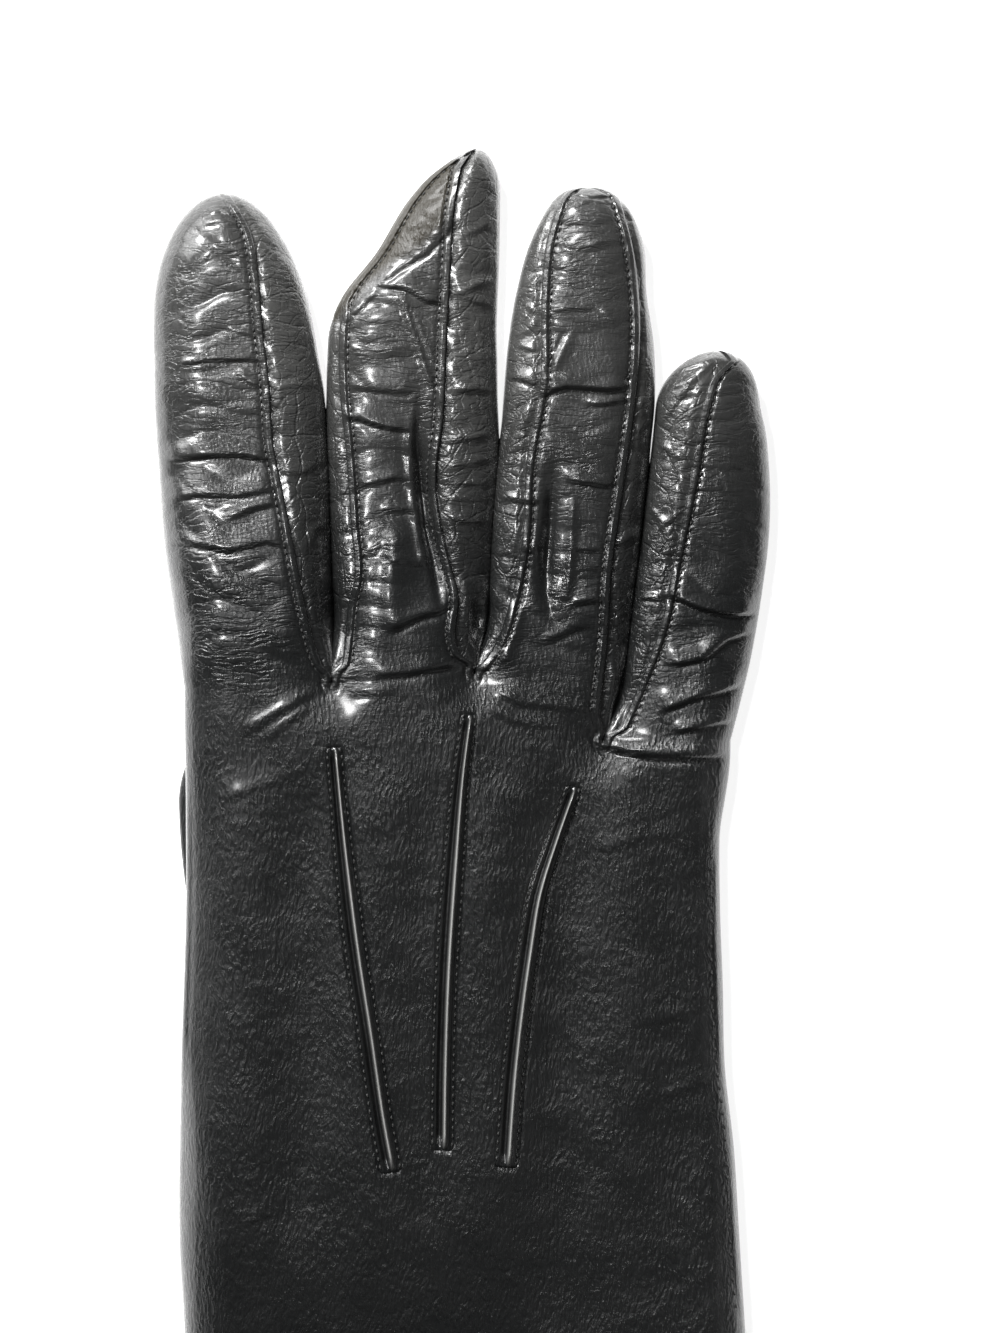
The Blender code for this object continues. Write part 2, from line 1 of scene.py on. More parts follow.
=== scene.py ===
"""Leather opera glove for the right hand, dressed: skin, side strips, thumb, stitched points, hem and thread.

Metres, +Z up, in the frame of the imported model. The fingers point along +Y and the cuff's mouth faces -Y. Every
surface is a grid moved onto the glove's pattern: plan lines for the fingers, hand and arm, and one height for the
leather at each plan point, with its rolled edges, seams, folds and creases.
"""

import logging
from collections.abc import Callable, Iterable, Sequence
from dataclasses import dataclass, field
from enum import Enum

import bmesh
import bpy
import numpy as np
from mathutils import Matrix, Vector


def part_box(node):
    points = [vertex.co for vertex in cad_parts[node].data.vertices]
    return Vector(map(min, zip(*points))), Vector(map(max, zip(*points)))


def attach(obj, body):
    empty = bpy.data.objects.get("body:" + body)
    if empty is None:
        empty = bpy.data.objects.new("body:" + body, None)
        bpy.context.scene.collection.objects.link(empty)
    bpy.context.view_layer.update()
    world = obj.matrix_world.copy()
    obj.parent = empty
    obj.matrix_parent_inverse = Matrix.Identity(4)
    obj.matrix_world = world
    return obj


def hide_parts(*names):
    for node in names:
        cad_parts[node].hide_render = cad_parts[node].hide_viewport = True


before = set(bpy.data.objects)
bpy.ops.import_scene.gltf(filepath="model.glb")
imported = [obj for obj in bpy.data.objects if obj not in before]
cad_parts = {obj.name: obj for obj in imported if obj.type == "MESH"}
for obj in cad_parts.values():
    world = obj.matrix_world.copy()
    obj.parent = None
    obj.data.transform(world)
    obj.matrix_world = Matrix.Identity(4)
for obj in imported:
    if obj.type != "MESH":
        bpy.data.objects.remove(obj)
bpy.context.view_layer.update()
LOG = logging.getLogger("opera_glove")
Array = np.ndarray
MM = 0.001


class Side(Enum):
    """The two faces of the flattened glove."""

    PALM = 0
    BACK = 1


class Place(Enum):
    """Where on the glove a crease lies."""

    INDEX = 0
    MIDDLE = 1
    RING = 2
    LITTLE = 3
    HAND = 4


@dataclass(frozen=True)
class EdgeRow:
    """A finger's edges at a share of the way up it, in shares of its width from the middle of its root."""

    along: float
    left: float
    right: float


@dataclass(frozen=True)
class Finger:
    """One finger: its length, width and thickness as shares of the named sizes, its tip and its edges."""

    name: str
    length: float
    width: float
    thickness: float
    tip_start: float
    tip_power: float
    edges: tuple[EdgeRow, ...]


@dataclass(frozen=True)
class HandRow:
    """The hand's edges at a share of its length, in palm widths."""

    along: float
    left: float
    right: float


@dataclass(frozen=True)
class FlareRow:
    """How far the arm's width has grown to the cuff's, and its sideways drift in cuff widths."""

    along: float
    share: float
    drift: float


@dataclass(frozen=True)
class ThumbRow:
    """The thumb's middle, in palm widths across, and its width share at a share of its length."""

    along: float
    centre: float
    width: float


@dataclass(frozen=True)
class PointRow:
    """A stitched point's middle line, in hand lengths down and palm widths across."""

    along: float
    across: float


@dataclass(frozen=True)
class Seam:
    """A finger's top seam, read off the photograph's 1000 by 1333 pixels, from the tip to the root."""

    finger: int
    right_side: bool
    pixels: tuple[tuple[float, float], ...]


@dataclass(frozen=True)
class Crease:
    """A fold or crease along a line of photograph pixels, in millimetres.

    Seen along the line, lip is how high the leather swells beside it, dying out over reach on its left and over drop
    on its right. Groove is how deep it is pressed in, over width, just past the lip.
    """

    name: str
    place: Place
    lip: float
    reach: float
    drop: float
    groove: float
    width: float
    pixels: tuple[tuple[float, float], ...]


@dataclass(frozen=True)
class PhotoScale:
    """Turns pixels of the 1000 by 1333 photograph into plan metres in the pattern's frame."""

    metres_per_pixel: float = 0.000156
    origin_x: float = 461.5
    origin_y: float = 672.0

    def plan(self, pixels: Sequence[tuple[float, float]]) -> Array:
        """The plan points of a list of pixels."""
        points = np.array(pixels, dtype=float)
        return (points - (self.origin_x, self.origin_y)) * (self.metres_per_pixel, -self.metres_per_pixel)


PHOTO = PhotoScale()

# Where the fingers part, in palm widths across and hand lengths down. The outer two are on the hand's edges.
CROTCHES = ((-0.501, 0.027), (-0.234, 0.015), (0.024, 0.000), (0.256, 0.103), (0.488, 0.106))

FINGERS = (
    Finger(
        "index", 0.932, 0.308, 1.12, 0.68, 2.0,
        (
            EdgeRow(0.00, -0.432, 0.432), EdgeRow(0.15, -0.500, 0.436), EdgeRow(0.30, -0.562, 0.420),
            EdgeRow(0.45, -0.594, 0.408), EdgeRow(0.60, -0.620, 0.385), EdgeRow(0.68, -0.623, 0.345),
            EdgeRow(0.85, -0.662, 0.302), EdgeRow(1.00, -0.680, 0.279),
        ),
    ),
    Finger(
        "middle", 1.000, 0.308, 1.00, 0.93, 2.0,
        (
            EdgeRow(0.00, -0.418, 0.418), EdgeRow(0.10, -0.405, 0.493), EdgeRow(0.20, -0.418, 0.512),
            EdgeRow(0.30, -0.430, 0.530), EdgeRow(0.40, -0.440, 0.550), EdgeRow(0.50, -0.455, 0.555),
            EdgeRow(0.60, -0.452, 0.553), EdgeRow(0.66, -0.438, 0.549), EdgeRow(0.72, -0.365, 0.556),
            EdgeRow(0.80, -0.172, 0.565), EdgeRow(0.90, 0.020, 0.570), EdgeRow(1.00, 0.290, 0.570),
        ),
    ),
    Finger(
        "ring", 0.981, 0.272, 1.00, 0.94, 3.6,
        (
            EdgeRow(0.00, -0.427, 0.427), EdgeRow(0.10, -0.340, 0.557), EdgeRow(0.20, -0.327, 0.610),
            EdgeRow(0.30, -0.313, 0.653), EdgeRow(0.40, -0.287, 0.690), EdgeRow(0.50, -0.257, 0.740),
            EdgeRow(0.60, -0.233, 0.777), EdgeRow(0.70, -0.203, 0.770), EdgeRow(0.80, -0.147, 0.720),
            EdgeRow(0.90, -0.050, 0.695), EdgeRow(0.94, 0.015, 0.645), EdgeRow(1.00, 0.130, 0.510),
        ),
    ),
    Finger(
        "little", 0.739, 0.217, 0.96, 0.86, 2.0,
        (
            EdgeRow(0.00, -0.533, 0.533), EdgeRow(0.10, -0.410, 0.617), EdgeRow(0.20, -0.337, 0.696),
            EdgeRow(0.30, -0.302, 0.758), EdgeRow(0.40, -0.258, 0.808), EdgeRow(0.50, -0.221, 0.850),
            EdgeRow(0.60, -0.190, 0.867), EdgeRow(0.70, -0.148, 0.858), EdgeRow(0.80, -0.112, 0.825),
            EdgeRow(0.86, -0.092, 0.783), EdgeRow(1.00, 0.000, 0.833),
        ),
    ),
)

HAND_EDGES = (
    HandRow(0.00, -0.501, 0.540), HandRow(0.11, -0.499, 0.486), HandRow(0.22, -0.498, 0.470),
    HandRow(0.35, -0.498, 0.469), HandRow(0.47, -0.502, 0.474), HandRow(0.60, -0.508, 0.478),
    HandRow(0.72, -0.512, 0.494), HandRow(0.84, -0.513, 0.503), HandRow(1.00, -0.503, 0.515),
)

ARM_FLARE = (
    FlareRow(0.00, 0.00, 0.00), FlareRow(0.15, 0.08, 0.01), FlareRow(0.35, 0.34, 0.03),
    FlareRow(0.60, 0.68, 0.02), FlareRow(0.80, 0.90, 0.00), FlareRow(1.00, 1.00, 0.00),
)

THUMB_ROWS = (
    ThumbRow(0.00, -0.240, 0.78), ThumbRow(0.20, -0.262, 0.80), ThumbRow(0.40, -0.300, 0.96),
    ThumbRow(0.60, -0.333, 1.00), ThumbRow(0.78, -0.348, 0.99), ThumbRow(1.00, -0.352, 0.92),
)

# The three stitched points, each under one crotch, from the upper end down.
POINTS = (
    (
        "point_rib_index",
        (
            PointRow(0.112, -0.229), PointRow(0.275, -0.210), PointRow(0.411, -0.190),
            PointRow(0.546, -0.165), PointRow(0.681, -0.141), PointRow(0.752, -0.125),
        ),
    ),
    (
        "point_rib_middle",
        (
            PointRow(0.062, 0.015), PointRow(0.151, 0.001), PointRow(0.275, -0.012),
            PointRow(0.464, -0.027), PointRow(0.590, -0.032), PointRow(0.720, -0.034),
        ),
    ),
    (
        "point_rib_ring",
        (
            PointRow(0.172, 0.204), PointRow(0.254, 0.169), PointRow(0.330, 0.140),
            PointRow(0.422, 0.121), PointRow(0.600, 0.094), PointRow(0.745, 0.081),
        ),
    ),
)

SEAMS = (
    Seam(0, True, (
        (233, 199), (253, 235), (260, 275), (265, 334), (271, 384), (276, 450), (285, 493), (296, 548),
        (308, 609), (322, 660), (330, 680),
    )),
    Seam(1, False, (
        (342, 304), (339, 348), (340, 392), (346, 451), (351, 523), (354, 584), (349, 604), (346, 635), (342, 676),
    )),
    Seam(1, True, (
        (462, 170), (456, 203), (451, 275), (447, 348), (443, 427), (437, 472), (437, 494), (446, 547),
        (459, 596), (457, 643), (463, 658), (473, 670),
    )),
    Seam(2, False, (
        (557, 205), (545, 248), (541, 294), (539, 388), (526, 462), (521, 543), (510, 600), (495, 643), (483, 662),
    )),
    Seam(2, True, (
        (619, 197), (631, 240), (640, 326), (635, 403), (623, 489), (611, 577), (608, 632), (602, 692), (597, 735),
    )),
    Seam(3, False, (
        (730, 361), (711, 380), (703, 403), (689, 481), (674, 554), (656, 637), (637, 687), (618, 732),
    )),
)

CREASES = (
    Crease("index knuckle line", Place.INDEX, 0.30, 0.60, 0.30, 0.15, 0.25, (
        (172, 368), (205, 362), (249, 361), (264, 362))),
    Crease("index first band", Place.INDEX, 0.50, 1.70, 0.30, 0.30, 0.30, (
        (163, 460), (200, 458), (240, 456), (276, 462))),
    Crease("index second band", Place.INDEX, 0.42, 1.80, 0.30, 0.25, 0.30, (
        (166, 500), (200, 496), (240, 497), (283, 489))),
    Crease("index third line", Place.INDEX, 0.25, 1.40, 0.30, 0.22, 0.30, (
        (226, 523), (255, 510), (286, 503))),
    Crease("index root crease", Place.INDEX, 0.35, 1.20, 0.30, 0.35, 0.35, (
        (167, 540), (200, 546), (231, 552), (267, 543), (292, 548))),
    Crease("index upper wrinkle", Place.INDEX, 0.22, 0.60, 0.25, 0.12, 0.20, ((222, 330), (240, 334), (263, 339))),
    Crease("index slant wrinkle", Place.INDEX, 0.18, 0.50, 0.20, 0.10, 0.20, ((233, 263), (246, 270), (260, 278))),
    Crease("index low slant", Place.INDEX, 0.25, 0.60, 0.25, 0.12, 0.20, ((236, 373), (250, 384), (264, 392))),
    Crease("index tip wrinkle", Place.INDEX, 0.15, 0.50, 0.20, 0.08, 0.20, ((208, 217), (224, 213), (243, 221))),
    Crease("index tip second", Place.INDEX, 0.15, 0.50, 0.20, 0.08, 0.20, ((203, 228), (222, 225), (246, 229))),
    Crease("index strip line", Place.INDEX, 0.20, 0.40, 0.20, 0.08, 0.20, ((274, 390), (294, 388), (316, 387))),
    Crease("index strip fold", Place.INDEX, 0.30, 0.80, 0.30, 0.20, 0.25, ((281, 470), (300, 476), (328, 462))),
    Crease("index strip curve", Place.INDEX, 0.30, 0.60, 0.30, 0.25, 0.30, ((331, 519), (313, 529), (304, 556))),
    Crease("middle facet edge", Place.MIDDLE, 0.10, 1.60, 0.60, 0.30, 0.40, (
        (372, 290), (398, 270), (425, 254), (447, 232), (457, 196))),
    Crease("middle tip fold", Place.MIDDLE, 0.55, 1.80, 0.30, 0.40, 0.35, (
        (372, 287), (405, 290), (427, 303), (447, 304))),
    Crease("middle left ridge", Place.MIDDLE, 0.30, 0.50, 0.50, 0.12, 0.25, ((344, 324), (362, 306), (382, 289))),
    Crease("middle raised wrinkle", Place.MIDDLE, 0.45, 0.35, 0.35, 0.20, 0.30, (
        (399, 292), (413, 334), (427, 377), (438, 400))),
    Crease("middle second wrinkle", Place.MIDDLE, 0.22, 0.30, 0.30, 0.12, 0.25, (
        (411, 306), (425, 342), (438, 372))),
    Crease("middle facet low edge", Place.MIDDLE, 0.30, 1.20, 0.40, 0.15, 0.25, (
        (412, 347), (378, 351), (344, 348))),
    Crease("middle shade line", Place.MIDDLE, 0.35, 2.20, 0.50, 0.15, 0.35, ((342, 386), (380, 391), (420, 392))),
    Crease("middle bright ridge", Place.MIDDLE, 0.65, 1.00, 0.30, 0.35, 0.35, (
        (340, 416), (362, 421), (385, 428), (418, 432))),
    Crease("middle cross line", Place.MIDDLE, 0.32, 0.70, 0.30, 0.18, 0.28, (
        (352, 491), (365, 487), (382, 483), (396, 478), (414, 483))),
    Crease("middle short line", Place.MIDDLE, 0.35, 0.60, 0.30, 0.20, 0.28, ((378, 513), (390, 510), (420, 511))),
    Crease("middle low line", Place.MIDDLE, 0.35, 0.60, 0.30, 0.20, 0.28, (
        (386, 563), (404, 561), (414, 564), (430, 567))),
    Crease("middle slant fold", Place.MIDDLE, 0.40, 1.20, 0.40, 0.50, 0.45, (
        (386, 634), (406, 623), (422, 616), (441, 611), (455, 601))),
    Crease("middle soft ridge", Place.MIDDLE, 0.45, 1.40, 1.40, 0.0, 0.30, (
        (398, 520), (394, 560), (392, 600), (394, 636))),
    Crease("middle valley", Place.MIDDLE, 0.0, 1.70, 0.60, 2.10, 0.80, (
        (423, 378), (418, 420), (417, 447), (420, 482), (426, 533), (433, 560), (440, 604), (448, 634))),
    Crease("middle valley slope", Place.MIDDLE, 0.0, 1.20, 1.20, 0.70, 2.40, (
        (423, 378), (418, 420), (420, 482), (426, 533), (440, 604), (450, 640))),
    Crease("middle panel edge", Place.MIDDLE, 0.35, 0.45, 0.70, 0.0, 0.20, (
        (414, 410), (410, 447), (412, 484), (418, 530), (427, 574))),
    Crease("middle gather", Place.HAND, 0.30, 1.20, 0.40, 0.60, 0.45, (
        (372, 676), (406, 674), (431, 669), (461, 664))),
    Crease("middle strip first", Place.MIDDLE, 0.50, 1.20, 0.30, 0.35, 0.28, ((452, 393), (474, 391), (498, 394))),
    Crease("middle strip second", Place.MIDDLE, 0.40, 0.80, 0.30, 0.25, 0.25, ((446, 443), (470, 440), (497, 436))),
    Crease("middle strip third", Place.MIDDLE, 0.32, 0.60, 0.30, 0.20, 0.25, ((444, 469), (470, 465), (497, 459))),
    Crease("middle strip fourth", Place.MIDDLE, 0.30, 0.50, 0.30, 0.20, 0.25, ((445, 487), (470, 484), (495, 486))),
    Crease("middle strip fifth", Place.MIDDLE, 0.28, 0.50, 0.30, 0.18, 0.25, ((446, 501), (466, 499), (494, 500))),
    Crease("middle strip sixth", Place.MIDDLE, 0.40, 0.70, 0.30, 0.25, 0.25, (
        (446, 515), (460, 522), (476, 523), (493, 522))),
    Crease("middle strip upper", Place.MIDDLE, 0.35, 0.70, 0.30, 0.22, 0.25, ((455, 300), (476, 288), (497, 280))),
    Crease("middle strip lower", Place.MIDDLE, 0.30, 0.60, 0.30, 0.20, 0.25, ((457, 295), (474, 303), (498, 309))),
    Crease("middle strip slant", Place.MIDDLE, 0.30, 0.60, 0.30, 0.20, 0.25, ((460, 242), (478, 232), (498, 222))),
    Crease("middle strip fan", Place.MIDDLE, 0.30, 0.40, 0.40, 0.15, 0.25, ((457, 233), (465, 262), (476, 278))),
    Crease("middle strip streak", Place.MIDDLE, 0.28, 0.35, 0.35, 0.15, 0.25, ((474, 312), (480, 345), (484, 380))),
    Crease("middle strip streak two", Place.MIDDLE, 0.25, 0.35, 0.35, 0.15, 0.25, (
        (462, 315), (466, 345), (474, 378))),
    Crease("middle pocket", Place.MIDDLE, 0.0, 0.90, 0.90, 1.30, 0.90, ((474, 590), (478, 620), (476, 652))),
    Crease("middle pocket left", Place.MIDDLE, 0.35, 0.40, 0.40, 0.0, 0.30, ((466, 590), (469, 612), (468, 640))),
    Crease("middle pocket right", Place.MIDDLE, 0.35, 0.40, 0.40, 0.0, 0.30, ((486, 585), (485, 612), (482, 640))),
    Crease("ring main crease", Place.RING, 0.70, 2.20, 0.30, 0.50, 0.35, (
        (538, 398), (552, 392), (567, 388), (606, 391), (634, 388))),
    Crease("ring second line", Place.RING, 0.35, 0.60, 0.30, 0.20, 0.25, ((582, 406), (604, 405), (634, 399))),
    Crease("ring strip crease", Place.RING, 0.55, 1.20, 0.30, 0.40, 0.30, ((505, 378), (524, 381), (540, 390))),
    Crease("ring slant fold", Place.RING, 0.35, 0.80, 0.80, 0.60, 0.50, (
        (536, 396), (520, 423), (509, 451), (499, 478))),
    Crease("ring middle line", Place.RING, 0.50, 1.00, 0.30, 0.35, 0.30, (
        (560, 479), (583, 484), (604, 486), (622, 484))),
    Crease("ring strip bright", Place.RING, 0.40, 0.60, 0.30, 0.20, 0.25, ((495, 497), (522, 502), (550, 502))),
    Crease("ring strip low", Place.RING, 0.25, 0.50, 0.25, 0.12, 0.22, ((494, 511), (508, 515), (520, 520))),
    Crease("ring strip lower", Place.RING, 0.25, 0.50, 0.25, 0.12, 0.22, ((492, 552), (504, 554), (514, 558))),
    Crease("ring low line", Place.RING, 0.28, 0.50, 0.25, 0.15, 0.25, ((568, 549), (590, 551), (612, 550))),
    Crease("ring low second", Place.RING, 0.20, 0.40, 0.25, 0.12, 0.25, ((570, 569), (590, 568), (610, 569))),
    Crease("ring root line", Place.RING, 0.35, 0.60, 0.30, 0.25, 0.28, ((563, 607), (584, 602), (610, 599))),
    Crease("ring round ridge", Place.RING, 0.75, 1.10, 1.10, 0.0, 0.30, ((516, 598), (507, 638), (501, 672))),
    Crease("ring slant root", Place.RING, 0.30, 0.90, 0.35, 0.25, 0.35, ((538, 645), (569, 631), (592, 624))),
    Crease("ring valley", Place.RING, 0.0, 0.70, 1.40, 1.55, 0.75, (
        (559, 446), (554, 476), (551, 523), (548, 560), (547, 590), (551, 616), (562, 632))),
    Crease("ring valley slope", Place.RING, 0.0, 1.00, 1.30, 0.60, 2.00, (
        (559, 446), (553, 482), (549, 540), (547, 590), (560, 630))),
    Crease("side seam", Place.HAND, 0.20, 0.40, 0.40, 0.14, 0.28, (
        (716, 850), (715, 940), (717, 1011), (720, 1060), (725, 1096), (730, 1145), (733, 1219), (736, 1267),
        (741, 1316))),
    Crease("ring panel ridge", Place.RING, 0.35, 0.50, 0.30, 0.12, 0.25, (
        (571, 492), (570, 527), (568, 576), (562, 604))),
    Crease("ring sparkle ridge", Place.RING, 0.35, 0.60, 0.60, 0.0, 0.30, ((520, 548), (531, 549), (543, 547))),
    Crease("ring tip lip", Place.RING, 0.25, 0.50, 0.30, 0.12, 0.20, ((569, 194), (592, 198), (617, 196))),
    Crease("ring tip wrinkle", Place.RING, 0.22, 0.60, 0.25, 0.10, 0.20, ((573, 208), (590, 203), (608, 206))),
    Crease("ring tip band", Place.RING, 0.18, 0.60, 0.25, 0.10, 0.20, ((580, 252), (600, 246), (628, 242))),
    Crease("ring upper line", Place.RING, 0.25, 0.70, 0.25, 0.12, 0.22, ((548, 313), (574, 311), (598, 312))),
    Crease("ring upper slant", Place.RING, 0.22, 0.40, 0.30, 0.12, 0.22, ((598, 308), (606, 318), (617, 330))),
    Crease("ring long fold", Place.RING, 0.30, 0.60, 0.60, 0.25, 0.35, ((573, 330), (560, 356), (548, 382))),
    Crease("ring left slant", Place.RING, 0.25, 0.50, 0.40, 0.20, 0.25, ((546, 270), (532, 284), (517, 300))),
    Crease("ring left vee", Place.RING, 0.25, 0.50, 0.30, 0.18, 0.22, ((520, 304), (530, 310), (539, 318))),
    Crease("ring left vee low", Place.RING, 0.25, 0.50, 0.30, 0.18, 0.22, ((538, 318), (526, 330), (512, 340))),
    Crease("ring left line", Place.RING, 0.25, 0.50, 0.30, 0.18, 0.22, ((514, 345), (526, 350), (539, 354))),
    Crease("ring right line", Place.RING, 0.25, 0.50, 0.30, 0.18, 0.22, ((636, 411), (645, 402), (655, 393))),
    Crease("ring right second", Place.RING, 0.25, 0.50, 0.30, 0.18, 0.22, ((635, 436), (643, 428), (653, 421))),
    Crease("ring right low", Place.RING, 0.35, 0.60, 0.30, 0.20, 0.25, ((611, 548), (624, 542), (640, 533))),
    Crease("ring strip round", Place.RING, 0.50, 0.90, 0.90, 0.0, 0.30, ((617, 655), (614, 690), (610, 722))),
    Crease("little tip ridge", Place.LITTLE, 0.25, 0.40, 0.30, 0.12, 0.22, ((674, 372), (698, 365), (720, 354))),
    Crease("little tip second", Place.LITTLE, 0.20, 0.40, 0.30, 0.12, 0.22, ((668, 391), (680, 386), (694, 378))),
    Crease("little strip fold", Place.LITTLE, 0.30, 0.50, 0.50, 0.40, 0.35, (
        (654, 431), (672, 407), (691, 383), (710, 364), (724, 355))),
    Crease("little strip short", Place.LITTLE, 0.28, 0.50, 0.30, 0.18, 0.22, ((654, 442), (670, 454), (684, 463))),
    Crease("little cross first", Place.LITTLE, 0.28, 0.40, 0.30, 0.18, 0.22, ((642, 500), (658, 520), (672, 548))),
    Crease("little cross second", Place.LITTLE, 0.28, 0.40, 0.30, 0.18, 0.22, ((643, 548), (660, 528), (680, 512))),
    Crease("little strip line", Place.LITTLE, 0.40, 0.60, 0.30, 0.25, 0.25, ((636, 599), (650, 598), (664, 600))),
    Crease("little knuckle", Place.LITTLE, 0.65, 2.40, 0.35, 0.50, 0.35, (
        (660, 593), (680, 600), (698, 608), (715, 612), (738, 614), (760, 611))),
    Crease("little first fold", Place.LITTLE, 0.45, 1.20, 0.40, 0.30, 0.35, (
        (660, 661), (680, 663), (703, 658), (724, 639), (742, 633), (758, 631))),
    Crease("little second fold", Place.LITTLE, 0.50, 1.20, 0.40, 0.30, 0.35, (
        (655, 712), (672, 706), (698, 696), (720, 690), (748, 680))),
    Crease("little third fold", Place.LITTLE, 0.50, 1.00, 0.40, 0.30, 0.35, (
        (668, 732), (690, 728), (715, 722), (740, 718))),
    Crease("crotch lip", Place.HAND, 0.75, 1.30, 0.40, 0.70, 0.45, (
        (590, 742), (610, 748), (634, 753), (665, 756), (700, 755), (732, 754))),
    Crease("root wrinkle index", Place.HAND, 0.22, 0.80, 0.35, 0.12, 0.30, (
        (243, 735), (275, 716), (303, 699), (326, 688))),
    Crease("root wrinkle index two", Place.HAND, 0.18, 0.60, 0.30, 0.10, 0.30, ((262, 745), (290, 722), (318, 704))),
    Crease("root wrinkle middle", Place.HAND, 0.20, 0.70, 0.30, 0.15, 0.30, ((345, 690), (375, 694), (405, 692))),
    Crease("root wrinkle ring", Place.HAND, 0.25, 0.80, 0.30, 0.18, 0.30, (
        (488, 690), (520, 704), (558, 708), (598, 712))),
    Crease("root wrinkle ring two", Place.HAND, 0.20, 0.70, 0.30, 0.12, 0.30, ((480, 706), (515, 722), (560, 728))),
    Crease("root wrinkle fan", Place.HAND, 0.18, 0.60, 0.30, 0.12, 0.30, ((430, 705), (448, 695), (466, 686))),
    Crease("hand slant first", Place.HAND, 0.14, 1.00, 0.50, 0.08, 0.35, ((628, 1024), (660, 1018), (694, 1010))),
    Crease("hand slant second", Place.HAND, 0.14, 1.00, 0.50, 0.08, 0.35, ((650, 1101), (675, 1091), (702, 1078))),
    Crease("hand slant third", Place.HAND, 0.12, 1.00, 0.50, 0.06, 0.35, ((240, 1220), (262, 1212), (286, 1202))),
    Crease("hand slant fourth", Place.HAND, 0.12, 1.00, 0.50, 0.06, 0.35, ((215, 800), (250, 790), (300, 772))),
    Crease("hand slant fifth", Place.HAND, 0.12, 1.00, 0.50, 0.06, 0.35, ((590, 850), (640, 838), (690, 830))),
)


def follow(rows: Sequence[object], at: Array, column: str) -> Array:
    """The named column of a table at any places along it, on a smooth curve through its rows.

    Args:
        rows: The table, with an along value in each row.
        at: The places to read it at.
        column: The name of the value to read.

    Returns:
        The values, one for each place.
    """
    places = np.array([row.along for row in rows])
    values = np.array([getattr(row, column) for row in rows])
    return smooth_through(places, values, at)


def smooth_through(places: Array, values: Array, at: Array) -> Array:
    """A smooth curve through a few values, read at any places.

    Args:
        places: Rising places of the values.
        values: The values there.
        at: The places to read.

    Returns:
        The curve's values, held level past both ends.
    """
    slopes = np.gradient(values, places)
    at = np.clip(at, places[0], places[-1])
    i = np.clip(np.searchsorted(places, at, side="right") - 1, 0, len(places) - 2)
    step = places[i + 1] - places[i]
    t = (at - places[i]) / step
    rise = values[i + 1] - values[i]
    bend = step * t * (1 - t) * (slopes[i] * (1 - t) - slopes[i + 1] * t)
    return values[i] + rise * t * t * (3 - 2 * t) + bend


def ease(t: Array) -> Array:
    """0 before 0, 1 after 1, and smooth between."""
    t = np.clip(t, 0.0, 1.0)
    return t * t * (3 - 2 * t)


def mix(a: Array, b: Array, share: Array) -> Array:
    """The blend from a to b."""
    return a + (b - a) * share


def crowd(t: Array, share: float = 0.55) -> Array:
    """Shares from 0 to 1 that lie closer together at both ends."""
    return t - share * np.sin(2 * np.pi * t) / (2 * np.pi)


def bell(distance: Array, width: float) -> Array:
    """A smooth bump of height 1 that dies out over a width."""
    return np.exp(-((distance / width) ** 2))


def lines_near(points: Array, line: Array) -> tuple[Array, Array, Array]:
    """How points lie to a line of straight runs.

    Args:
        points: Plan points, one a row.
        line: The line's corners, one a row.

    Returns:
        Each point's distance, the side it is on (1 left, -1 right), and its share of the way along.
    """
    start, step = line[:-1], np.diff(line, axis=0)
    squared = np.maximum((step**2).sum(axis=1), 1e-18)
    lengths = np.sqrt(squared)
    before = np.concatenate([[0.0], np.cumsum(lengths)[:-1]])
    gaps, sides, shares = (np.empty(len(points)) for _ in range(3))
    batch = 4000
    for first in range(0, len(points), batch):
        part = slice(first, first + batch)
        offset = points[part, None, :] - start[None]
        along = np.clip((offset * step).sum(axis=2) / squared, 0.0, 1.0)
        away = offset - along[..., None] * step
        distance = np.sqrt((away**2).sum(axis=2))
        nearest = distance.argmin(axis=1)
        rows = np.arange(len(nearest))
        cross = step[nearest, 0] * offset[rows, nearest, 1] - step[nearest, 1] * offset[rows, nearest, 0]
        gaps[part] = distance[rows, nearest]
        sides[part] = np.where(cross >= 0, 1.0, -1.0)
        shares[part] = (before[nearest] + along[rows, nearest] * lengths[nearest]) / lengths.sum()
    return gaps, sides, shares


